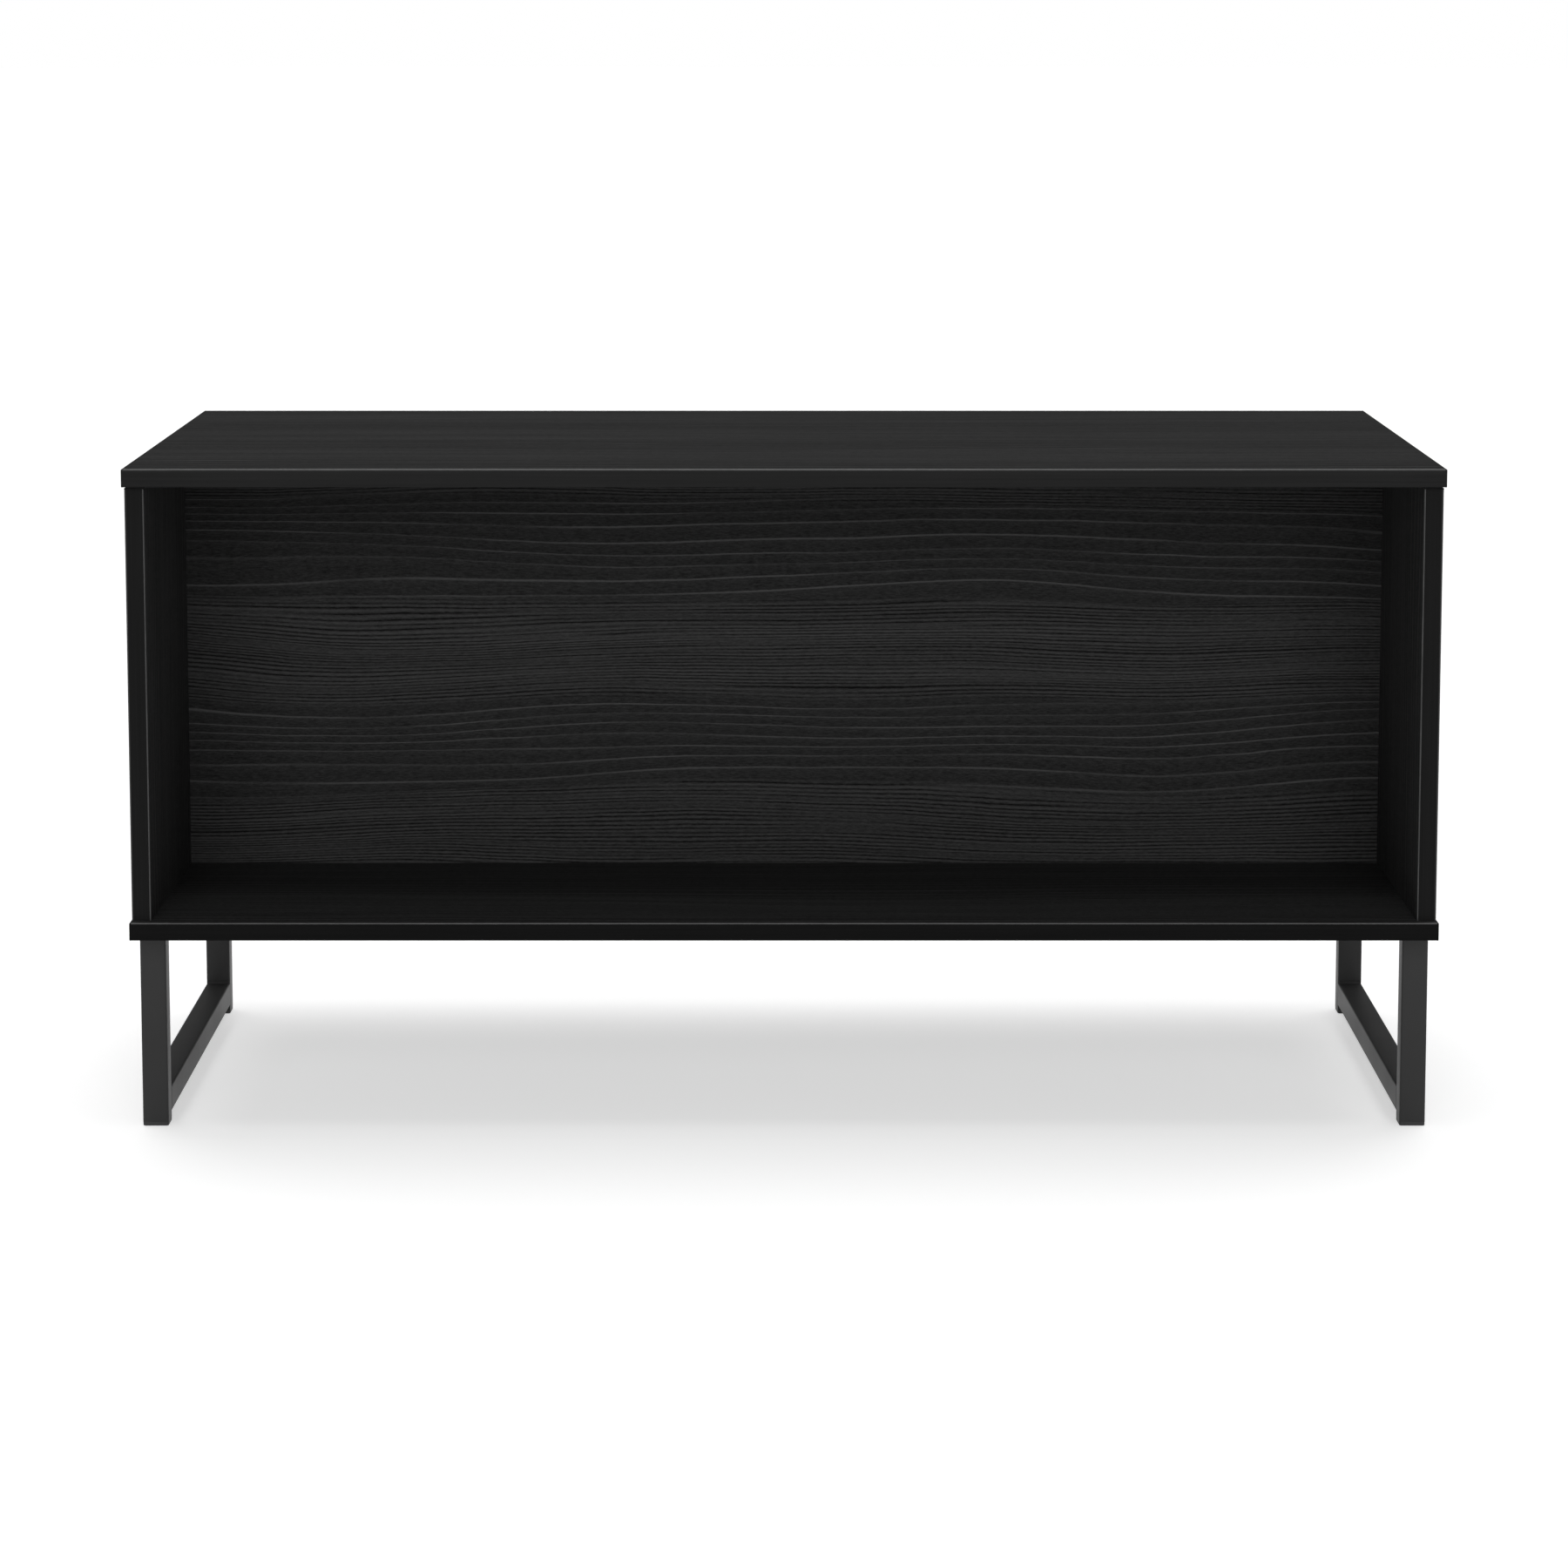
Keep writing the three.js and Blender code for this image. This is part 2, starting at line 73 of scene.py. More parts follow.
# What the frame fixes: the boards, the arms' rest angle and the pivots of the right-hand mechanism.
TOP_LOW, TOP_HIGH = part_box("top_slab")
BOTTOM_LOW, BOTTOM_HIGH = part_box("bottom_slab")
PANEL_LOW, PANEL_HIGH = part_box("side_panel_right")
DIVIDER_LOW, DIVIDER_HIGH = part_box("centre_divider")
BACK_LOW, BACK_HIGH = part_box("back_panel")
JOINTS = {joint["name"]: joint for joint in frame["joints"]}
FRONT_BASE = Vector(JOINTS["lift"]["pos_m"])
REAR_BASE = Vector(JOINTS["rear_arm_pivot"]["pos_m"])
FRONT_TOP = Vector(JOINTS["top_pivot"]["pos_m"])
REAR_TOP = REAR_BASE + FRONT_TOP - FRONT_BASE
ARM = FRONT_TOP - FRONT_BASE
ARM_ANGLE = math.atan2(ARM.z, ARM.y)
ARM_LOW, ARM_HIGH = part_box("front_arm_right")
ARM_HALF_WIDTH = (ARM_HIGH.y - ARM_LOW.y - ARM.y) / 2

# Distances inwards from a side panel's inner face.
BASE_FACE = 2.5 * MM
BRACKET_FACE = 3.5 * MM
ARM_FACE = 4.8 * MM
SHOULDER_START = 8.2 * MM
COIL_START = 10.0 * MM

PIN_NECK = 4.0 * MM
PIN_HEAD = 7.0 * MM
WIRE = 1.4 * MM
SPRING_RADIUS = ARM_HALF_WIDTH + WIRE + 0.3 * MM
SPRING_REACH = 46 * MM


def length(name, description, default, **limits):
    return FloatProperty(name=name, description=description, default=default, unit="LENGTH", **limits)


def colour(name, description, default):
    return FloatVectorProperty(
        name=name, description=description, default=default, size=3, subtype="COLOR", min=0, max=1
    )


def share(name, description, default):
    return FloatProperty(name=name, description=description, default=default, subtype="FACTOR", min=0, max=1)


# ---- settings


class TableBoards(bpy.types.PropertyGroup):
    band: length("Edge band", "Thickness of the band on a board's edges", 1.3 * MM)
    arris: length("Arris", "Radius of the rounded corner along an edge band", 1.15 * MM)
    hairline: length("Hairline", "Width of the seam between a face and its edge band", 0.1 * MM)
    wood: colour("Wood", "Mean colour of the printed laminate", (0.031, 0.031, 0.031))
    edging: colour("Edging", "Mean colour of the edge bands", (0.012, 0.012, 0.012))
    sheen: share("Sheen", "Specular level of the laminate", 0.012)


class TableLegs(bpy.types.PropertyGroup):
    corner: length("Tube corner", "Outside corner radius of the square tube", 1.6 * MM)
    wall: length("Tube wall", "Wall thickness of the square tube", 1.5 * MM)
    weld: length("Weld", "Leg length of the fillet welds", 2.4 * MM)
    paint: colour("Paint", "Colour of the powder coat", (0.035, 0.035, 0.035))


class TableMechanism(bpy.types.PropertyGroup):
    sheet: length("Sheet", "Thickness of the pressed sheet inside an arm's rim", 1.6 * MM)
    rim: length("Rim", "Width of an arm's turned-up rim", 1.8 * MM)
    edge: length("Edge", "Softened edge of the sheet metal", 0.3 * MM)
    turns: IntProperty(name="Turns", description="Turns of a torsion spring", default=5)
    pitch: length("Pitch", "Distance between two turns of a torsion spring", 3.3 * MM)
    zinc: colour("Zinc", "Colour of the zinc plate", (0.44, 0.445, 0.455))
    bright: colour("Bright zinc", "Colour of the plate on pins, screws and fittings", (0.46, 0.46, 0.45))


class TableStage(bpy.types.PropertyGroup):
    lens: FloatProperty(name="Lens", description="Focal length of the camera", default=104.9, unit="CAMERA")
    shift: FloatProperty(name="Shift", description="Vertical shift of the camera", default=-0.12)
    height: length("Camera height", "Height of the camera over the floor", 0.864)
    distance: length("Camera distance", "Distance from the camera to the table's middle", 3.677)
    pitch: FloatProperty(
        name="Camera pitch", description="Downward tilt", default=math.radians(7.372), unit="ROTATION"
    )


# ---- shader helpers


class Number:
    """A number that varies over a surface. Arithmetic on it adds Math nodes."""

    def __init__(self, shader, socket):
        self.shader = shader
        self.socket = socket

    def joined(self, operation, first, second=0.0, **options):
        node = self.shader.node("ShaderNodeMath", {"operation": operation, **options}, {0: first, 1: second})
        return Number(self.shader, node.outputs[0])

    def __add__(self, other):
        return self.joined("ADD", self, other)

    def __radd__(self, other):
        return self.joined("ADD", other, self)

    def __sub__(self, other):
        return self.joined("SUBTRACT", self, other)

    def __rsub__(self, other):
        return self.joined("SUBTRACT", other, self)

    def __mul__(self, other):
        return self.joined("MULTIPLY", self, other)

    def __rmul__(self, other):
        return self.joined("MULTIPLY", other, self)

    def fraction(self):
        return self.joined("FRACT", self)

    def wave(self, period, crest):
        """A cosine from 0 to 1 that is 1 at crest."""
        turn = (self - crest) * (2 * math.pi / period)
        return self.joined("COSINE", turn) * 0.5 + 0.5

    def clamped(self):
        return self.joined("ADD", self, 0.0, use_clamp=True)

    def step(self, low, high):
        """Goes smoothly from 0 to 1 as the number goes from low to high."""
        node = self.shader.node(
            "ShaderNodeMapRange", {"interpolation_type": "SMOOTHSTEP"}, {0: self, 1: low, 2: high}
        )
        return Number(self.shader, node.outputs[0])


class Shader:
    """A node material with one Principled shader."""

    def __init__(self, name, **fixed):
        self.material = bpy.data.materials.new(name)
        self.material.use_nodes = True
        self.tree = self.material.node_tree
        self.principled = self.tree.nodes["Principled BSDF"]
        self.place = self.node("ShaderNodeTexCoord", {}, {}).outputs["Object"]
        for socket, value in fixed.items():
            self.principled.inputs[socket.replace("_", " ")].default_value = value

    def node(self, kind, options, inputs):
        node = self.tree.nodes.new(kind)
        for key, value in options.items():
            setattr(node, key, value)
        for key, value in inputs.items():
            self.set(node.inputs[key], value)
        return node

    def set(self, socket, value):
        if isinstance(value, Number):
            value = value.socket
        if isinstance(value, bpy.types.NodeSocket):
            self.tree.links.new(value, socket)
        else:
            socket.default_value = value

    def number(self, node, output=0):
        return Number(self, node.outputs[output])

    def mapped(self, scale, place=None, shift=(0, 0, 0)):
        """The place stretched by scale along each axis."""
        node = self.node(
            "ShaderNodeMapping", {}, {"Vector": place or self.place, "Scale": scale, "Location": shift}
        )
        return node.outputs[0]

    def noise(self, scale, detail=2.0, place=None, rough=0.5, shift=(0, 0, 0)):
        """Noise from 0 to 1 with scale cells to the metre along each axis."""
        vector = self.mapped(scale, place, shift)
        inputs = {"Vector": vector, "Scale": 1.0, "Detail": detail, "Roughness": rough}
        return self.number(self.node("ShaderNodeTexNoise", {}, inputs))

    def mix(self, factor, first, second):
        """A colour between two colours."""
        node = self.node("ShaderNodeMix", {"data_type": "RGBA"}, {0: factor, 6: first, 7: second})
        return node.outputs[2]

    def moved(self, place, offset):
        """The place moved by a vector of numbers."""
        parts = self.node("ShaderNodeCombineXYZ", {}, dict(enumerate(offset)))
        node = self.node("ShaderNodeVectorMath", {"operation": "ADD"}, {0: place, 1: parts.outputs[0]})
        return node.outputs[0]

    def parts(self, place):
        node = self.node("ShaderNodeSeparateXYZ", {}, {0: place})
        return [self.number(node, i) for i in range(3)]

    def look(self, **inputs):
        for socket, value in inputs.items():
            self.set(self.principled.inputs[socket.replace("_", " ")], value)
        return self.material

    def bump(self, height, strength, distance):
        node = self.node(
            "ShaderNodeBump", {}, {"Strength": strength, "Distance": distance, "Height": height}
        )
        return node.outputs[0]


def settings():
    return bpy.context.scene.coffee_table


def rgba(rgb, factor=1.0):
    return [channel * factor for channel in rgb] + [1.0]


# ---- materials


ZONE = 0.160  # from one dense zone of rings to the next
SPARSE_RINGS = 100.0  # to the metre
DENSE_RINGS = 345.0


def stretched(grain, along, across):
    """A noise scale with one value along the grain axis and another across it."""
    return tuple(along if i == grain else across for i in range(3))


def wood(name, painted_light_factor, grain, across, zone_crest, figure, seed):
    """Black stained softwood print, with rings dense and fine in some zones, sparse and wavy in others.

    grain is the axis along the grain, across the one that crosses the rings, zone_crest the middle of a
    dense zone, figure the contrast of the rings, and seed moves the pattern. The factor that follows the
    name lightens or darkens this copy of the print as painted light and painted shade on the piece that
    wears it.
    """
    boards = settings().boards
    shader = Shader(name, Specular_IOR_Level=boards.sheen)
    home = (seed, seed * 1.7, seed * 2.3)
    flow = shader.noise(stretched(grain, 2.0, 6.0), 1.0, shift=home)
    ripple = shader.noise(stretched(grain, 14.0, 40.0), 2.0, shift=home)
    drift = (flow - 0.5) * 0.050 + (ripple - 0.5) * 0.0024
    place = shader.moved(shader.place, [drift if i == across else 0.0 for i in range(3)])
    height = shader.parts(place)[across]
    dense = height.wave(ZONE, zone_crest).step(0.38, 0.56)

    slow = shader.noise(stretched(grain, 1.3, 16.0), 1.0, place, shift=home)
    fade = shader.noise(stretched(grain, 5.0, 90.0), 1.0, shift=home)
    contour = (height * SPARSE_RINGS + slow * 5.5).fraction()
    light_line = contour.step(0.81, 0.91) * (1 - contour.step(0.93, 1.0))
    blush = contour.step(0.25, 0.90) * (1 - contour.step(0.94, 1.0))
    sparse = 0.78 + light_line * (fade.step(0.36, 0.60) * 1.00 + 0.40) + blush * 0.16

    thick = shader.noise(stretched(grain, 2.0, 110.0), 1.0, place, 0.5, home)
    comb = (height * DENSE_RINGS + slow * 10.0 + thick * 1.6).fraction()
    dark_line = comb.step(0.0, 0.20) * (1 - comb.step(0.22, 0.46))
    bright_line = comb.step(0.45, 0.70) * (1 - comb.step(0.75, 1.0))
    broken = shader.noise(stretched(grain, 6.0, 260.0), 1.0, place, 0.5, home).step(0.26, 0.56)
    crowded = 1.12 + (thick - 0.5) * 0.7 + broken * (bright_line * 0.50 - dark_line * 0.95)

    dash = shader.noise(stretched(grain, 260.0, 1500.0), 2.0, place, 0.7, home) - 0.5
    pore = shader.noise(stretched(grain, 60.0, 1700.0), 0.0, place, 0.5, home).step(0.60, 0.74)
    tone = crowded * dense + sparse * (1 - dense)
    tone = 1 + (tone - 1) * figure + dash * 1.8 - pore * 0.15
    shade = ((tone - 0.15) * (1 / 2.6)).clamped()
    # Painted light and shade: both ends of the colour range are scaled by the factor for this piece.
    base = shader.mix(shade, rgba(boards.wood, 0.15 * painted_light_factor), rgba(boards.wood, 2.75 * painted_light_factor))
    relief = tone * 0.5 - dark_line * dense * 0.5 - pore * 0.3
    return shader.look(
        Base_Color=base,
        Roughness=0.58 - tone * 0.06,
        Normal=shader.bump(relief, 0.25, 0.00012),
    )


def edging(name, painted_light_factor, grain, seed):
    """Edge band in the boards' colour, with a faint combed grain along it. The factor that follows the name
    lightens or darkens this copy of the band as painted light and painted shade.
    """
    boards = settings().boards
    shader = Shader(name, Specular_IOR_Level=boards.sheen)
    home = (seed, seed * 1.7, seed * 2.3)
    comb = shader.noise(stretched(grain, 6.0, 700.0), 2.0, shift=home)
    cloud = shader.noise(stretched(grain, 8.0, 60.0), 2.0, shift=home)
    # Painted light and shade: the band's colour is scaled by the factor for this piece, lighter on the top
    # slab, darker on the bottom slab.
    dark, light = rgba(boards.edging, 0.62 * painted_light_factor), rgba(boards.edging, 1.38 * painted_light_factor)
    base = shader.mix(comb * 0.6 + cloud * 0.4, dark, light)
    return shader.look(
        Base_Color=base,
        Roughness=0.50 + (cloud - 0.5) * 0.14,
        Normal=shader.bump(comb, 0.18, 0.0001),
    )


def arris(name):
    """The edge band's rounded corner, painted lighter than the band as a highlight, with small scuffs in it.
    """
    rgb = settings().boards.edging
    shader = Shader(name, Specular_IOR_Level=0.6)
    highlight_scuff = shader.noise((60.0, 60.0, 60.0), 3.0, rough=0.6)
    streak = shader.noise((25.0, 420.0, 420.0), 2.0)
    # Painted highlight: the corner is coloured 1.4 to 2.6 times as light as its band, broken up by the
    # scuffs.
    base = shader.mix(highlight_scuff.step(0.35, 0.75), rgba(rgb, 1.4), rgba(rgb, 2.6))
    return shader.look(
        Base_Color=base,
        Roughness=0.30 + streak * 0.22,
        Normal=shader.bump(streak, 0.12, 0.0001),
    )


def powder_coat(name):
    """Satin powder coat with a fine orange peel."""
    rgb = settings().legs.paint
    shader = Shader(name, Specular_IOR_Level=0.16)
    peel = shader.noise((900.0, 900.0, 900.0), 2.0)
    cloud = shader.noise((14.0, 14.0, 9.0), 3.0)
    speck = shader.noise((2600.0, 2600.0, 2600.0), 1.0).step(0.66, 0.74)
    base = shader.mix((cloud - 0.5) * 0.6 + 0.5 + speck * 0.3, rgba(rgb, 0.84), rgba(rgb, 1.18))
    return shader.look(
        Base_Color=base,
        Roughness=0.46 + (cloud - 0.5) * 0.12,
        Normal=shader.bump(peel, 0.18, 0.00009),
    )


def zinc_plate(name, plate, lustre):
    """Zinc plate on pressed sheet: a faint spangle, rolling lines and dull rubbed spots."""
    rgb = getattr(settings().mechanism, plate)
    shader = Shader(name, Metallic=1.0)
    cells = {"Vector": shader.place, "Scale": 260.0}
    flake = shader.number(shader.node("ShaderNodeTexVoronoi", {"feature": "F1"}, cells))
    rolling = shader.noise((900.0, 45.0, 900.0), 2.0)
    cloud = shader.noise((48.0, 48.0, 48.0), 4.0, rough=0.65)
    base = shader.mix(cloud.step(0.3, 0.75) * 0.7 + flake * 0.3, rgba(rgb, 0.76), rgba(rgb, 1.14))
    return shader.look(
        Base_Color=base,
        Roughness=lustre + (cloud - 0.5) * 0.30 + (rolling - 0.5) * 0.12,
        Normal=shader.bump(rolling + cloud * 0.5, 0.16, 0.0001),
    )


def spring_steel(name):
    """Oiled spring wire with drawing marks and a brown tinge."""
    shader = Shader(name, Metallic=1.0)
    draw = shader.noise((1400.0, 160.0, 160.0), 2.0)
    stain = shader.noise((70.0, 70.0, 70.0), 3.0)
    base = shader.mix(stain.step(0.35, 0.7), (0.16, 0.155, 0.15, 1), (0.27, 0.25, 0.23, 1))
    return shader.look(
        Base_Color=base,
        Roughness=0.28 + stain * 0.16,
        Normal=shader.bump(draw, 0.12, 0.00006),
    )


def black_plastic(name):
    """Moulded black plastic with a fine spark-eroded texture."""
    tone = 0.018
    shader = Shader(name, Specular_IOR_Level=0.4)
    texture = shader.noise((1500.0, 1500.0, 1500.0), 2.0)
    smear = shader.noise((45.0, 45.0, 45.0), 2.0)
    base = shader.mix(smear, rgba((tone, tone, tone), 0.8), rgba((tone, tone, tone), 1.3))
    return shader.look(
        Base_Color=base,
        Roughness=0.5 + (smear - 0.5) * 0.15,
        Normal=shader.bump(texture, 0.2, 0.00008),
    )


# Each finish, the function that makes it and that function's arguments. The first number of a wood or
# edging finish lightens or darkens that copy of the laminate or band as painted light and painted shade:
# the top slab's bands and the side panels' inner faces painted lighter, the top's face and the bottom
# slab's bands painted darker.
FINISHES = {
    "top_wood": (wood, 0.80, 0, 1, 0.02, 1.15, 3.1),
    "shelf_wood": (wood, 1.0, 0, 1, -0.03, 0.8, 6.4),
    "divider_wood": (wood, 1.0, 0, 2, 0.347, 1.0, 0.0),
    "back_wood": (wood, 1.0, 0, 2, 0.31, 1.0, 11.3),
    "panel_wood": (wood, 1.3, 2, 1, 0.05, 0.8, 5.3),
    # Edging copies of one band colour, painted lighter or darker by piece as light and shade.
    "top_edging": (edging, 1.65, 0, 2.0),
    "top_end_edging": (edging, 1.5, 1, 2.0),
    "panel_edging": (edging, 1.1, 2, 4.0),
    "panel_top_edging": (edging, 1.0, 1, 4.0),
    "bottom_edging": (edging, 0.7, 0, 6.0),
    "bottom_end_edging": (edging, 0.7, 1, 6.0),
    # The arris finish: a painted highlight along the corners of the bands.
    "buffed_arris": (arris,),
    "leg_paint": (powder_coat,),
    "zinc_plate": (zinc_plate, "zinc", 0.34),
    "bright_zinc": (zinc_plate, "bright", 0.22),
    "spring_wire": (spring_steel,),
    "black_plastic": (black_plastic,),
}
MATERIALS = {}


def material(name):
    """The named material, made the first time that a piece asks for it."""
    if name not in MATERIALS:
        make, *values = FINISHES[name]
        MATERIALS[name] = make(name, *values)
    return MATERIALS[name]


# ---- modelling helpers


def deselect():
    bpy.ops.object.select_all(action="DESELECT")


def only(piece):
    """Makes a piece the one that is selected and active."""
    deselect()
    piece.select_set(True)
    bpy.context.view_layer.objects.active = piece


def apply_place(piece):
    only(piece)
    bpy.ops.object.transform_apply(location=True, rotation=True, scale=True)


def added(name):
    """Names the primitive that was just added and puts its place into its mesh."""
    piece = bpy.context.active_object
    piece.name = piece.data.name = name
    apply_place(piece)
    return piece


def box(name, low, high, tilt=0.0):
    """A block between two corners, tilted about X round its middle."""
    low, high = Vector(low), Vector(high)
    deselect()
    bpy.ops.mesh.primitive_cube_add(
        size=1, location=(low + high) / 2, rotation=(tilt, 0, 0), scale=high - low
    )
    return added(name)


def select(piece, kind, test):
    """In edit mode, selects the faces or edges whose middle passes the test, and no others."""
    mesh = bmesh.from_edit_mesh(piece.data)
    for group in (mesh.verts, mesh.edges, mesh.faces):
        for item in group:
            item.select = False
    chosen = mesh.faces if kind == "FACE" else mesh.edges
    for item in chosen:
        corners = [corner.co for corner in item.verts]
        if test(sum(corners, Vector()) / len(corners), item):
            item.select_set(True)
    bmesh.update_edit_mesh(piece.data)


def edit(piece, kind):
    only(piece)
    bpy.ops.object.mode_set(mode="EDIT")
    bpy.ops.mesh.select_mode(type=kind)


def done():
    bpy.ops.object.mode_set(mode="OBJECT")


def bevel(piece, test, width, segments=3, profile=0.5, slot=-1):
    """Rounds the edges that pass the test."""
    edit(piece, "EDGE")
    select(piece, "EDGE", test)
    bpy.ops.mesh.bevel(
        offset=width, segments=segments, profile=profile, affect="EDGES", clamp_overlap=True, material=slot
    )
    done()


def direction(edge):
    a, b = (corner.co for corner in edge.verts)
    return (b - a).normalized()


def runs_along(edge, axis):
    return abs(direction(edge)[axis]) > 0.99


def facing(face, axis, sign):
    return face.normal[axis] * sign > 0.999


def press(piece, test, border, depth):
    """Insets the faces that pass the test and sinks what is left by depth."""
    edit(piece, "FACE")
    select(piece, "FACE", test)
    bpy.ops.mesh.inset(thickness=border, depth=0)
    bpy.ops.mesh.inset(thickness=0, depth=-depth)
    done()


def clean(piece):
    """Merges doubles and turns every face outwards."""
    edit(piece, "VERT")
    bpy.ops.mesh.select_all(action="SELECT")
    bpy.ops.mesh.remove_doubles(threshold=1e-6)
    bpy.ops.mesh.normals_make_consistent(inside=False)
    done()


def joined(name, first, *others):
    """Joins pieces into one object."""
    only(first)
    for other in others:
        other.select_set(True)
    bpy.ops.object.join()
    first.name = first.data.name = name
    return first


def copied(piece, name):
    only(piece)
    bpy.ops.object.duplicate()
    copy = bpy.context.active_object
    copy.name = copy.data.name = name
    return copy


def mirrored(piece, name):
    """The piece's mirror image across the table's middle."""
    copy = copied(piece, name)
    copy.scale.x = -1
    apply_place(copy)
    clean(copy)
    return copy


def turned(name, centre, axis, profile, sides=48):
    """A round piece: profile is [distance along axis, radius] pairs, axis a unit vector along X or Z."""
    centre, axis = Vector(centre), Vector(axis)
    lies = (0, math.pi / 2, 0) if abs(axis.x) > 0.5 else (0, 0, 0)
    start, radius = profile[0]
    deselect()
    bpy.ops.mesh.primitive_circle_add(
        vertices=sides, radius=radius, fill_type="NGON", location=centre + axis * start, rotation=lies
    )
    piece = added(name)
    edit(piece, "FACE")
    bpy.ops.mesh.select_all(action="SELECT")
    for here, wide in profile[1:]:
        bpy.ops.mesh.extrude_region_move(TRANSFORM_OT_translate={"value": axis * (here - start)})
        ratio = wide / radius
        scale = (1, ratio, ratio) if abs(axis.x) > 0.5 else (ratio, ratio, 1)
        bpy.ops.transform.resize(value=scale, center_override=centre + axis * here)
        start, radius = here, wide
    done()
    clean(piece)
    return piece


def clad(piece, looks):
    """Gives a piece that has no materials yet its material slots."""
    if not piece.data.materials:
        for look in looks:
            piece.data.materials.append(material(look))


def finished(piece, body, looks, nodes=(), smooth=32):
    """Gives a piece its materials, its shading and its body, if it has one, and hides the nodes it stands
    for.
    """
    clad(piece, looks)
    only(piece)
    bpy.ops.object.shade_smooth_by_angle(angle=math.radians(smooth))
    if body:
        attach(piece, body)
    if nodes:
        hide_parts(*nodes)
    return piece


def pair(piece, name, body, looks, node=None, smooth=32):
    """Finishes a right-hand piece and its mirror image, which stand for the node's right and left."""
    twin = mirrored(piece, name + "_left")
    piece.name = piece.data.name = name + "_right"
    for side, made in (("right", piece), ("left", twin)):
        finished(made, body, looks, [f"{node}_{side}"] if node else (), smooth)


# ---- boards


def banded_board(name, low, high, edges, looks):
    """A laminated board. edges are the [axis, sign, material slot] of the sides that carry an edge band."""
    boards = settings().boards
    core_low, core_high = low.copy(), high.copy()
    strips = []
    for axis, sign, slot in edges:
        strip_low, strip_high = core_low.copy(), core_high.copy()
        inner = (core_high if sign > 0 else core_low)[axis] - sign * boards.band
        (strip_low if sign > 0 else strip_high)[axis] = inner
        (core_high if sign > 0 else core_low)[axis] = inner
        strips.append(edge_band(name, strip_low, strip_high, axis, sign, slot, looks))
    core = box(name, core_low, core_high)
    clad(core, looks)
    bevel(core, lambda middle, edge: True, boards.hairline, 1)
    return joined(name, core, *strips)


def edge_band(name, low, high, axis, sign, slot, looks):
    """A strip on a board's edge, with its two long outer corners rounded."""
    strip = box(name + "_band", low, high)
    clad(strip, looks)
    for face in strip.data.polygons:
        face.material_index = slot
    outer = (high if sign > 0 else low)[axis]
    size = high - low
    flat = [i for i in range(3) if i != axis]
    run = max(flat, key=lambda i: size[i])

    def is_corner(middle, edge):
        return runs_along(edge, run) and abs(middle[axis] - outer) < 1e-6

    def is_lower(middle, edge):
        return is_corner(middle, edge) and run != 2 and middle.z < low.z + 1e-6

    def takes_painted_highlight(middle, edge):
        return is_corner(middle, edge) and (run == 2 or middle.z > high.z - 1e-6)

    arris_radius = settings().boards.arris
    # Upper and upright corners take the arris material's painted highlight; lower corners, which light from
    # above leaves dark, keep the band's own colour.
    bevel(strip, takes_painted_highlight, arris_radius, 4, 0.5, 3)
    bevel(strip, is_lower, arris_radius * 0.4, 3, 0.5, slot)
    return strip


class TABLE_OT_boards(bpy.types.Operator):
    """Builds the two slabs, the side panels, the divider and the back panel"""

    bl_idname = "coffee_table.boards"
    bl_label = "Boards"

    def execute(self, context):
        all_round = [(0, -1, 2), (0, 1, 2), (1, -1, 1), (1, 1, 1)]
        upright = [(2, 1, 2), (1, -1, 1), (1, 1, 1)]
        rim = [(2, 1, 1)]
        self.board("top_slab", "top", all_round, "top_wood", "top_edging", "top_end_edging")
        self.board("bottom_slab", "cabinet", all_round, "shelf_wood", "bottom_edging", "bottom_end_edging")
        panel = ("panel_wood", "panel_edging", "panel_top_edging")
        for side in SIDES:
            self.board("side_panel_" + side, "cabinet", upright, *panel)
        self.board("centre_divider", "cabinet", rim, "divider_wood", "top_edging", "top_edging")
        self.board("back_panel", "cabinet", rim, "back_wood", "top_edging", "top_edging")
        return {"FINISHED"}

    def board(self, node, body, edges, face, long_edge, short_edge):
        low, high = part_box(node)
        # The fourth look is the arris, painted lighter as a highlight.
        looks = (face, long_edge, short_edge, "buffed_arris")
        piece = banded_board(node + "_board", low, high, edges, looks)
        finished(piece, body, looks, [node], 40)


class TABLE_OT_bumpers(bpy.types.Operator):
    """Builds the four bumpers that the closed top rests on"""

    bl_idname = "coffee_table.bumpers"
    bl_label = "Bumpers"

    def execute(self, context):
        for end in ("front", "rear"):
            low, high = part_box(end + "_bumper_right")
            centre = (low + high) / 2
            radius = (high.x - low.x) / 2
            rise = high.z - low.z
            profile = [
                (0, radius),
                (rise * 0.35, radius),
                (rise * 0.75, radius * 0.88),
                (rise * 0.95, radius * 0.66),
                (rise, radius * 0.35),
            ]
            piece = turned("bumper", (centre.x, centre.y, low.z), (0, 0, 1), profile, 40)
            name = end + "_bumper"
            pair(piece, name + "_pad", "cabinet", ["black_plastic"], name, 60)
        return {"FINISHED"}


# ---- sled legs


def square_tube(name, low, high, axis, open_end=None):
    """A square tube along axis. open_end is the sign of the end that shows its hollow."""
    legs = settings().legs
    piece = box(name, low, high)
    bevel(piece, lambda middle, edge: runs_along(edge, axis), legs.corner, 6)
    if open_end:
        press(piece, lambda middle, face: facing(face, axis, open_end), legs.wall, 14 * MM)
        rim = (high if open_end > 0 else low)[axis]
        bevel(piece, lambda middle, edge: abs(middle[axis] - rim) < 1e-6, 0.25 * MM, 2)
    return piece


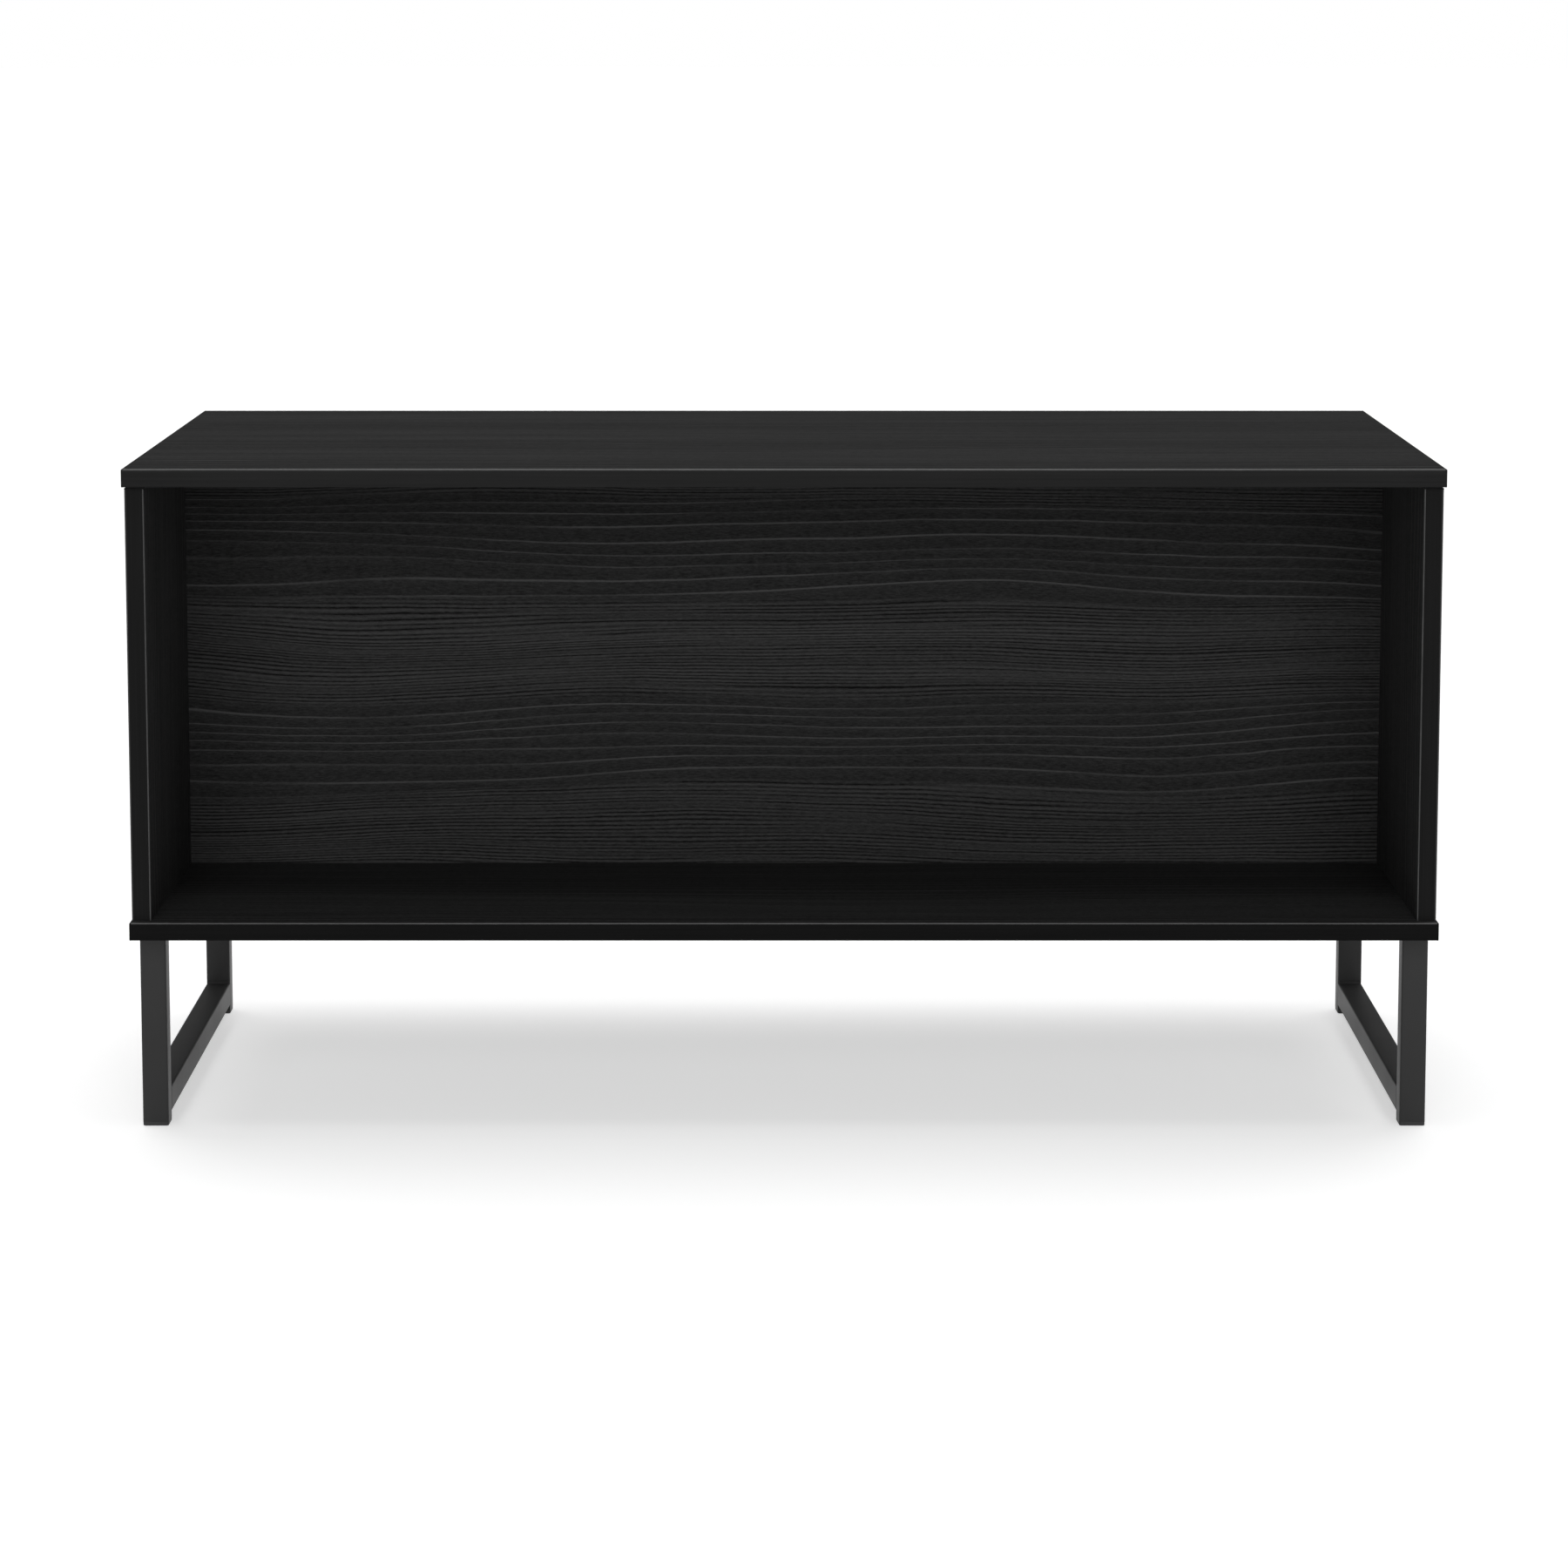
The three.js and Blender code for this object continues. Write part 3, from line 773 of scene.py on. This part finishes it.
def fillet_weld(name, corner, along_x, up):
    """A weld bead in the corner between a rail and a leg: along_x its span, up the side that it fills."""
    size = settings().legs.weld
    y, z, towards = corner
    low = Vector((along_x[0], min(y, y + towards * size), min(z, z + up * size)))
    high = Vector((along_x[1], max(y, y + towards * size), max(z, z + up * size)))
    bead = box(name, low, high)
    outer = (y + towards * size, z + up * size)

    def is_outer(middle, edge):
        return runs_along(edge, 0) and (Vector((middle.y, middle.z)) - Vector(outer)).length < 1e-6

    bevel(bead, is_outer, size * 0.98, 5, 0.28)
    edit(bead, "EDGE")
    select(bead, "EDGE", lambda middle, edge: runs_along(edge, 0))
    ripples = 9
    bpy.ops.mesh.subdivide(number_cuts=2 * ripples - 1)
    step = (along_x[1] - along_x[0]) / (2 * ripples)
    for i in range(ripples):
        x = along_x[0] + (2 * i + 1) * step

        def at_ripple(middle, edge):
            return abs(middle.x - x) < step * 0.1 and abs(direction(edge).x) < 0.1

        select(bead, "EDGE", at_ripple)
        bpy.ops.transform.resize(value=(1, 0.86, 0.86), center_override=(x, y, z))
    done()
    return bead


class TABLE_OT_sled_legs(bpy.types.Operator):
    """Builds the legs, the bottom rails with their welds, the leg plates and the feet"""

    bl_idname = "coffee_table.sled_legs"
    bl_label = "Sled legs"

    def execute(self, context):
        for end in ("front", "rear"):
            self.leg(end)
            self.plate(end)
            self.foot(end)
        low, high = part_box("bottom_rail_right")
        rail = square_tube("rail", low, high, 1)
        pair(rail, "bottom_rail_tube", "cabinet", ["leg_paint"], "bottom_rail")
        self.welds(low, high)
        return {"FINISHED"}

    def leg(self, end):
        node = end + "_leg"
        low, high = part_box(node + "_right")
        leg = square_tube("leg", low, high, 2, -1)
        pair(leg, node + "_tube", "cabinet", ["leg_paint"], node)

    def plate(self, end):
        node = end + "_leg_plate"
        low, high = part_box(node + "_right")
        plate = box("plate", low, high)
        inner = high.y if end == "front" else low.y
        bevel(
            plate,
            lambda middle, edge: runs_along(edge, 2) and abs(middle.y - inner) < 1e-6,
            5 * MM,
            6,
        )
        bevel(plate, lambda middle, edge: not runs_along(edge, 2), 0.25 * MM, 2)
        pair(plate, node + "_sheet", "cabinet", ["leg_paint"], node)

    def foot(self, end):
        node = end + "_foot"
        low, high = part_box(node + "_right")
        leg_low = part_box(end + "_leg_right")[0]
        wall = settings().legs.wall
        pad = box("foot", low, (high.x, high.y, leg_low.z))
        bevel(pad, lambda middle, edge: runs_along(edge, 2), 2 * MM, 5)
        bevel(pad, lambda middle, edge: abs(middle.z - low.z) < 1e-6, 0.9 * MM, 3)
        press(pad, lambda middle, face: facing(face, 2, -1), 2.5 * MM, 0.5 * MM)
        inset = Vector((wall + 0.3 * MM, wall + 0.3 * MM, 0))
        plug = box("plug", Vector((low.x, low.y, leg_low.z - MM)) + inset, high - inset)
        bevel(plug, lambda middle, edge: middle.z > high.z - MM or runs_along(edge, 2), 0.8 * MM, 2)
        foot = joined("foot", pad, plug)
        pair(foot, node + "_cap", "cabinet", ["black_plastic"], node)

    def welds(self, low, high):
        span = (low.x + 1.2 * MM, high.x - 1.2 * MM)
        for end, y, towards in (("front", low.y, 1), ("rear", high.y, -1)):
            for place, z, up in (("top", high.z, 1), ("under", low.z, -1)):
                bead = fillet_weld("weld", (y, z, towards), span, up)
                pair(bead, f"{end}_rail_weld_{place}", "cabinet", ["leg_paint"], smooth=50)


# ---- lift mechanism


def softened(name, node, width):
    """A copy of a CAD node with its doubles merged, its flat faces joined and its edges softened."""
    source = frame["nodes"][node].data.copy()
    source.materials.clear()
    piece = bpy.data.objects.new(name, source)
    bpy.context.scene.collection.objects.link(piece)
    clean(piece)
    edit(piece, "FACE")
    bpy.ops.mesh.select_all(action="SELECT")
    bpy.ops.mesh.dissolve_limited(angle_limit=math.radians(1))
    done()
    edge = piece.modifiers.new("soft edge", "BEVEL")
    edge.width = width
    edge.segments = 2
    edge.limit_method = "ANGLE"
    edge.angle_limit = math.radians(50)
    edge.harden_normals = False
    only(piece)
    bpy.ops.object.modifier_apply(modifier=edge.name)
    return piece


def arm_piece(name, node, base, tip):
    """A pressed arm with round ends, a turned-up rim, a boss at each pivot and a stiffening rib."""
    steel = settings().mechanism
    low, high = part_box(node)
    half = ARM_HALF_WIDTH
    middle = (base + tip) / 2
    span = (tip - base).length / 2
    size = Vector((high.x - low.x, 2 * (span + half), 2 * half))
    centre = Vector(((low.x + high.x) / 2, middle.y, middle.z))
    arm = box(name, centre - size / 2, centre + size / 2)
    bevel(arm, lambda at, edge: runs_along(edge, 0), half * 0.999, 14)
    press(arm, lambda at, face: facing(face, 0, -1), steel.rim, size.x - steel.sheet)
    bevel(arm, lambda at, edge: not runs_along(edge, 0) and edge.calc_face_angle(0) > 0.9, steel.edge, 2)
    floor = high.x - steel.sheet
    sunk = 0.2 * MM
    rib_half = Vector((0, (span + half) * 0.52, 2.6 * MM))
    rib_middle = Vector((floor, middle.y, middle.z))
    rib_low = rib_middle - rib_half - Vector((MM, 0, 0))
    rib_high = rib_middle + rib_half + Vector((sunk, 0, 0))
    rib = box("rib", rib_low, rib_high)
    bevel(rib, lambda at, edge: runs_along(edge, 0), 2.5 * MM, 6)
    bevel(rib, lambda at, edge: at.x < floor - 0.9 * MM, 0.8 * MM, 3)
    rise = floor - low.x
    boss_profile = [(0, 6.4 * MM), (rise, 6.1 * MM), (rise + sunk, 5.6 * MM)]
    bosses = []
    for end in (-1, 1):
        at = (floor + sunk, middle.y + end * span, middle.z)
        bosses.append(turned("boss", at, (-1, 0, 0), boss_profile))
    arm = joined(name, arm, rib, *bosses)
    arm.matrix_world = (
        Matrix.Translation(centre) @ Matrix.Rotation(ARM_ANGLE, 4, "X") @ Matrix.Translation(-centre)
    )
    apply_place(arm)
    return arm


class TABLE_OT_lift_plates(bpy.types.Operator):
    """Builds the base plates, the top brackets, the arms and the bar between them"""

    bl_idname = "coffee_table.lift_plates"
    bl_label = "Lift plates and arms"

    def execute(self, context):
        edge = settings().mechanism.edge
        for node, body in (("base_plate", "cabinet"), ("top_bracket", "top")):
            plate = softened("plate", node + "_right", edge)
            pair(plate, node + "_sheet", body, ["zinc_plate"], node, 35)
        for node, body, base, tip in (
            ("front_arm", "front_arms", FRONT_BASE, FRONT_TOP),
            ("rear_arm", "rear_arms", REAR_BASE, REAR_TOP),
        ):
            arm = arm_piece("arm", node + "_right", base, tip)
            pair(arm, node + "_pressing", body, ["zinc_plate"], node, 35)
        self.sync_bar()
        return {"FINISHED"}

    def sync_bar(self):
        low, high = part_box("sync_bar")
        radius = (high.z - low.z) / 2
        centre = ((low.x + high.x) / 2, (low.y + high.y) / 2, (low.z + high.z) / 2)
        half = (high.x - low.x) / 2
        profile = [
            (-half, radius + 1.6 * MM),
            (-half + 1.0 * MM, radius + 1.5 * MM),
            (-half + 2.4 * MM, radius),
        ]
        profile += [(-x, r) for x, r in reversed(profile)]
        bar = turned("sync_bar_tube", centre, (1, 0, 0), profile, 40)
        finished(bar, "front_arms", ["zinc_plate"], ["sync_bar"])


def pin_profile(low, high, head, neck):
    """A rivet along X from its hidden end: neck is the radius in the plates, head the radius of its dome."""
    dome = high - 2.4 * MM
    return [
        (low, neck),
        (dome, neck),
        (dome, head),
        (dome + 1.0 * MM, head),
        (dome + 1.7 * MM, head * 0.9),
        (dome + 2.2 * MM, head * 0.66),
        (high, head * 0.34),
    ]


class TABLE_OT_pins(bpy.types.Operator):
    """Builds the pivot pins with their collars and domed heads"""

    bl_idname = "coffee_table.pins"
    bl_label = "Pins"

    def execute(self, context):
        inner = PANEL_LOW.x
        pins = (
            ("rear_base_pin", "cabinet", REAR_BASE, BASE_FACE),
            ("front_top_pin", "top", FRONT_TOP, BRACKET_FACE),
            ("rear_top_pin", "top", REAR_TOP, BRACKET_FACE),
        )
        for node, body, pivot, plate in pins:
            low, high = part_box(node + "_right")
            at = (inner, pivot.y, pivot.z)
            profile = pin_profile(inner - high.x, inner - low.x, PIN_HEAD, PIN_NECK)
            shank = turned("pin", at, (-1, 0, 0), profile)
            collar = turned("collar", at, (-1, 0, 0), [(plate, PIN_HEAD), (ARM_FACE, PIN_HEAD)], 40)
            bevel(collar, lambda middle, edge: edge.calc_face_angle(0) > 1, 0.2 * MM, 2)
            pin = joined("pin", shank, collar)
            pair(pin, node + "_rivet", body, ["bright_zinc"], node)
        self.arbor(inner)
        return {"FINISHED"}

    def arbor(self, inner):
        """The front base pin, which carries the spring on a wide shoulder."""
        low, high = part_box("front_base_pin_right")
        end = inner - low.x
        start = inner - high.x
        shoulder = SPRING_RADIUS - WIRE - 0.6 * MM
        cap = (high.z - low.z) / 2
        at = (inner, FRONT_BASE.y, FRONT_BASE.z)
        profile = [
            (start, PIN_NECK),
            (SHOULDER_START, PIN_NECK),
            (SHOULDER_START, shoulder),
            (end - 2.5 * MM, shoulder),
            (end - 2.5 * MM, cap - 0.3 * MM),
            (end - 2.2 * MM, cap),
            (end - 1.0 * MM, cap),
            (end - 0.3 * MM, cap - 0.7 * MM),
            (end, cap - 1.6 * MM),
        ]
        pin = turned("arbor", at, (-1, 0, 0), profile, 56)
        collar = turned("collar", at, (-1, 0, 0), [(BASE_FACE, PIN_HEAD), (ARM_FACE, PIN_HEAD)], 40)
        edit(pin, "FACE")
        select(pin, "FACE", lambda middle, face: facing(face, 0, -1) and middle.x < inner - end + 0.01 * MM)
        bpy.ops.mesh.inset(thickness=3.4 * MM, depth=0)
        bpy.ops.mesh.inset(thickness=0.8 * MM, depth=-0.7 * MM)
        done()
        pin = joined("arbor", pin, collar)
        pair(pin, "front_base_pin_arbor", "cabinet", ["bright_zinc"], "front_base_pin")


# ---- springs


class TABLE_OT_springs(bpy.types.Operator):
    """Builds the torsion springs, which wind up between the cabinet and the front arms"""

    bl_idname = "coffee_table.springs"
    bl_label = "Springs"

    def execute(self, context):
        steel = settings().mechanism
        coil_end = PANEL_LOW.x - COIL_START
        forward = ARM.normalized()
        below = Vector((0, forward.z, -forward.y))
        centre = Vector((coil_end, FRONT_BASE.y, FRONT_BASE.z))
        deselect()
        bpy.ops.mesh.primitive_circle_add(
            vertices=12,
            radius=WIRE,
            fill_type="NOTHING",
            location=centre + below * SPRING_RADIUS,
            rotation=(ARM_ANGLE - math.pi / 2, 0, 0),
        )
        wire = bpy.context.active_object
        bpy.context.scene.cursor.location = centre
        only(wire)
        bpy.ops.object.transform_apply(location=False, rotation=True, scale=True)
        bpy.ops.object.origin_set(type="ORIGIN_CURSOR")
        winding = wire.modifiers.new("winding", "SCREW")
        winding.axis = "X"
        winding.angle = -2 * math.pi
        winding.screw_offset = -steel.pitch
        winding.iterations = steel.turns
        winding.steps = winding.render_steps = 36
        winding.use_normal_calculate = True
        bpy.ops.object.modifier_apply(modifier=winding.name)
        apply_place(wire)
        self.leg(wire, centre, forward, below)
        clean(wire)
        for side, piece in (("left", mirrored(wire, "torsion_spring_wire_left")), ("right", wire)):
            piece.name = piece.data.name = "torsion_spring_wire_" + side
            finished(piece, None, ["spring_wire"], ["torsion_spring_" + side], 60)
            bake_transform(piece)
        return {"FINISHED"}

    def leg(self, wire, centre, forward, below):
        """Draws the wire's first end out along the arm and turns it outwards under the arm's edge."""
        start = centre + below * SPRING_RADIUS

        def in_ring(middle, edge):
            return (middle - start).length < WIRE * 1.1 and edge.is_boundary

        edit(wire, "EDGE")
        select(wire, "EDGE", in_ring)
        bend, tail = 2.6 * MM, 1.4 * MM
        straight = forward * (SPRING_REACH - 3 * MM)
        bpy.ops.mesh.extrude_region_move(TRANSFORM_OT_translate={"value": straight})
        pivot = start + straight + Vector((bend, 0, 0))
        bpy.ops.mesh.spin(steps=5, angle=-math.pi / 2, center=pivot, axis=below)
        bpy.ops.mesh.extrude_region_move(TRANSFORM_OT_translate={"value": (tail, 0, 0)})
        bpy.ops.mesh.edge_face_add()
        select(wire, "EDGE", lambda middle, edge: edge.is_boundary)
        bpy.ops.mesh.edge_face_add()
        done()


# ---- screws and fittings


def cut_out(piece, cutter):
    """Cuts the cutter's shape out of a piece and removes the cutter."""
    cut = piece.modifiers.new("cut", "BOOLEAN")
    cut.operation = "DIFFERENCE"
    cut.object = cutter
    only(piece)
    bpy.ops.object.modifier_apply(modifier=cut.name)
    bpy.data.objects.remove(cutter, do_unlink=True)


def cut_cross(piece, long, wide, low, high):
    """Cuts a cross of two slots out of a piece that stands on the world's origin, between two heights."""
    for x, y in ((long / 2, wide / 2), (wide / 2, long / 2)):
        cut_out(piece, box("cutter", (-x, -y, low), (x, y, high)))


def cross_screw(name, head, rise, shank, reach):
    """A pan-head screw that points up, with its head under Z = 0 and a cross recess in it."""
    profile = [
        (-rise, head * 0.5),
        (-rise * 0.93, head * 0.72),
        (-rise * 0.72, head * 0.9),
        (-rise * 0.4, head),
        (0, head),
        (0, shank),
        (reach, shank),
    ]
    screw = turned(name, (0, 0, 0), (0, 0, 1), profile, 32)
    cut_cross(screw, head * 1.05, head * 0.24, -rise - MM, -rise * 0.35)
    return screw


def placed(piece, name, matrix):
    copy = copied(piece, name)
    copy.matrix_world = matrix
    apply_place(copy)
    return copy


class TABLE_OT_screws(bpy.types.Operator):
    """Builds the screws of the leg plates, the brackets and the base plates"""

    bl_idname = "coffee_table.screws"
    bl_label = "Screws"

    def execute(self, context):
        low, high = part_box("front_leg_screw_1_right")
        head = (high.x - low.x) / 2
        rise = 1.9 * MM
        model = cross_screw("screw_model", head, rise, 1.9 * MM, high.z - low.z - rise)
        nodes = [node for node in sorted(frame["nodes"]) if "_screw_" in node]
        for number, node in enumerate(nodes):
            low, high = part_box(node)
            middle = (low + high) / 2
            twist = Matrix.Rotation(math.radians(37 * number), 4, "Z")
            if node.startswith("base_plate"):
                sign = 1 if middle.x > 0 else -1
                face = low.x + rise if sign > 0 else high.x - rise
                lies = Matrix.Rotation(sign * math.pi / 2, 4, "Y")
                matrix = Matrix.Translation((face, middle.y, middle.z)) @ lies @ twist
                body = "cabinet"
            else:
                matrix = Matrix.Translation((middle.x, middle.y, low.z + rise)) @ twist
                body = "top" if "bracket" in node else "cabinet"
            screw = placed(model, node + "_body", matrix)
            finished(screw, body, ["bright_zinc"], [node])
        bpy.data.objects.remove(model, do_unlink=True)
        return {"FINISHED"}


class TABLE_OT_fittings(bpy.types.Operator):
    """Builds the cam fittings in the storage well and the sunk bolts under the bottom slab"""

    bl_idname = "coffee_table.fittings"
    bl_label = "Fittings"

    def execute(self, context):
        self.cams()
        self.bolts()
        return {"FINISHED"}

    def cams(self):
        radius, proud = 7.4 * MM, 0.4 * MM
        profile = [(-3 * MM, radius), (proud * 0.6, radius), (proud, radius - 0.5 * MM)]
        cam = turned("cam", (0, 0, 0), (0, 0, 1), profile, 40)
        cut_cross(cam, radius * 1.3, radius * 0.22, -1.4 * MM, MM)
        walls = (("divider", DIVIDER_HIGH.y, -math.pi / 2), ("back", BACK_LOW.y, math.pi / 2))
        heights = (("low", BOTTOM_HIGH.z + 45 * MM), ("high", BOTTOM_HIGH.z + 205 * MM))
        for wall, y, lies in walls:
            for level, z in heights:
                matrix = Matrix.Translation((PANEL_LOW.x - 34 * MM, y, z)) @ Matrix.Rotation(lies, 4, "X")
                matrix = matrix @ Matrix.Rotation(math.radians(28), 4, "Z")
                piece = placed(cam, "cam", matrix)
                pair(piece, f"{wall}_cam_{level}", "cabinet", ["bright_zinc"])
        bpy.data.objects.remove(cam, do_unlink=True)

    def bolts(self):
        """Sunk connector bolts that hold the upright boards, seen from underneath."""
        head = 4.8 * MM
        profile = [
            (2.5 * MM, head * 0.8),
            (0.3 * MM, head),
            (0, head - 0.2 * MM),
            (-0.2 * MM, head - 0.7 * MM),
        ]
        bolt = turned("bolt", (0, 0, 0), (0, 0, 1), profile, 36)
        deselect()
        bpy.ops.mesh.primitive_cylinder_add(vertices=6, radius=2.1 * MM, depth=3 * MM, location=(0, 0, 0))
        cut_out(bolt, added("socket"))
        side_x = (PANEL_LOW.x + PANEL_HIGH.x) / 2
        rows = [("side", side_x, y) for y in (-110 * MM, 0.0, 110 * MM)]
        rows += [("divider", x, (DIVIDER_LOW.y + DIVIDER_HIGH.y) / 2) for x in (130 * MM, 390 * MM)]
        rows += [("back", x, (BACK_LOW.y + BACK_HIGH.y) / 2) for x in (130 * MM, 390 * MM)]
        for number, (row, x, y) in enumerate(rows, 1):
            piece = placed(bolt, "bolt", Matrix.Translation((x, y, BOTTOM_LOW.z)))
            pair(piece, f"{row}_bolt_{number}", "cabinet", ["bright_zinc"])
        bpy.data.objects.remove(bolt, do_unlink=True)


# ---- stage


class TABLE_OT_stage(bpy.types.Operator):
    """Builds the floor, the soft lights and the camera"""

    bl_idname = "coffee_table.stage"
    bl_label = "Stage"

    def execute(self, context):
        scene = context.scene
        stage = settings().stage
        self.floor()
        self.world(scene)
        self.sun("overhead", azimuth=180, elevation=68, spread=54, strength=1.5)
        self.sun("front fill", azimuth=0, elevation=11, spread=45, strength=1.5)
        self.softbox("front softbox", place=(0, -0.9, 2.4), size=(1.2, 0.5), power=6)
        camera = bpy.data.cameras.new("camera")
        camera.lens = stage.lens
        camera.sensor_width = 36
        camera.shift_y = stage.shift
        camera.clip_end = 200
        eye = bpy.data.objects.new("camera", camera)
        eye.location = (0, -stage.distance, stage.height)
        eye.rotation_euler = (math.pi / 2 - stage.pitch, 0, 0)
        scene.collection.objects.link(eye)
        scene.camera = eye
        scene.view_settings.view_transform = "Standard"
        scene.view_settings.look = "None"
        return {"FINISHED"}

    def floor(self):
        deselect()
        bpy.ops.mesh.primitive_circle_add(vertices=96, radius=60, fill_type="NGON", location=(0, 0, 0))
        piece = added("floor")
        shader = Shader("pale_floor", Specular_IOR_Level=0.0, Roughness=0.9)
        cloud = shader.noise((0.5, 0.5, 0.5), 2.0)
        path = shader.node("ShaderNodeLightPath", {}, {})
        glow = (shader.number(path, "Is Camera Ray") + shader.number(path, "Is Glossy Ray")).clamped()
        shader.principled.inputs["Emission Strength"].default_value = 0.55
        shader.look(
            Base_Color=shader.mix(cloud, (0.80, 0.80, 0.80, 1), (0.82, 0.82, 0.82, 1)),
            Emission_Color=shader.mix(glow, (0, 0, 0, 1), (1, 1, 1, 1)),
        )
        piece.data.materials.append(shader.material)

    def world(self, scene):
        """A dim room round the table, and plain white behind it where the camera looks past the floor."""
        world = bpy.data.worlds.new("room")
        world.use_nodes = True
        nodes, links = world.node_tree.nodes, world.node_tree.links
        room = nodes["Background"]
        room.inputs["Color"].default_value = (1, 1, 1, 1)
        room.inputs["Strength"].default_value = 0.18
        sheet = nodes.new("ShaderNodeBackground")
        sheet.inputs["Color"].default_value = (1, 1, 1, 1)
        seen = nodes.new("ShaderNodeLightPath")
        mix = nodes.new("ShaderNodeMixShader")
        links.new(seen.outputs["Is Camera Ray"], mix.inputs[0])
        links.new(room.outputs[0], mix.inputs[1])
        links.new(sheet.outputs[0], mix.inputs[2])
        links.new(mix.outputs[0], nodes["World Output"].inputs[0])
        scene.world = world

    def sun(self, name, azimuth, elevation, spread, strength):
        """A broad light from far away: azimuth 0 is the front, spread its apparent width in degrees."""
        light = bpy.data.lights.new(name, "SUN")
        light.energy = strength
        light.angle = math.radians(spread)
        a, e = math.radians(azimuth), math.radians(elevation)
        source = Vector((math.sin(a) * math.cos(e), -math.cos(a) * math.cos(e), math.sin(e)))
        self.aim(name, light, Vector(), source)

    def softbox(self, name, place, size, power):
        """A rectangular light that faces the table's front."""
        light = bpy.data.lights.new(name, "AREA")
        light.shape = "RECTANGLE"
        light.size, light.size_y = size
        light.energy = power
        place = Vector(place)
        self.aim(name, light, place, place - Vector((0, 0, 0.4)))

    def aim(self, name, light, place, source):
        """Adds the light at a place, shining away from the direction of its source."""
        lamp = bpy.data.objects.new(name, light)
        lamp.location = place
        lamp.rotation_euler = source.to_track_quat("Z", "Y").to_euler()
        lamp.visible_camera = False
        bpy.context.scene.collection.objects.link(lamp)


class TABLE_PT_panel(bpy.types.Panel):
    """Lists the steps that build the table"""

    bl_label = "Coffee table"
    bl_idname = "TABLE_PT_panel"
    bl_space_type = "VIEW_3D"
    bl_region_type = "UI"
    bl_category = "Table"

    def draw(self, context):
        for step in STEPS:
            self.layout.operator(step.bl_idname)


class CoffeeTable(bpy.types.PropertyGroup):
    boards: PointerProperty(type=TableBoards)
    legs: PointerProperty(type=TableLegs)
    mechanism: PointerProperty(type=TableMechanism)
    stage: PointerProperty(type=TableStage)


STEPS = (
    TABLE_OT_stage,
    TABLE_OT_boards,
    TABLE_OT_bumpers,
    TABLE_OT_sled_legs,
    TABLE_OT_lift_plates,
    TABLE_OT_pins,
    TABLE_OT_springs,
    TABLE_OT_screws,
    TABLE_OT_fittings,
)
GROUPS = (TableBoards, TableLegs, TableMechanism, TableStage, CoffeeTable)
CLASSES = (*GROUPS, *STEPS, TABLE_PT_panel)


def register():
    for entry in CLASSES:
        bpy.utils.register_class(entry)
    bpy.types.Scene.coffee_table = PointerProperty(type=CoffeeTable)


def unregister():
    del bpy.types.Scene.coffee_table
    for entry in reversed(CLASSES):
        bpy.utils.unregister_class(entry)


def main():
    register()
    for step in STEPS:
        group, name = step.bl_idname.split(".")
        getattr(getattr(bpy.ops, group), name)()


if __name__ == "__main__":
    main()
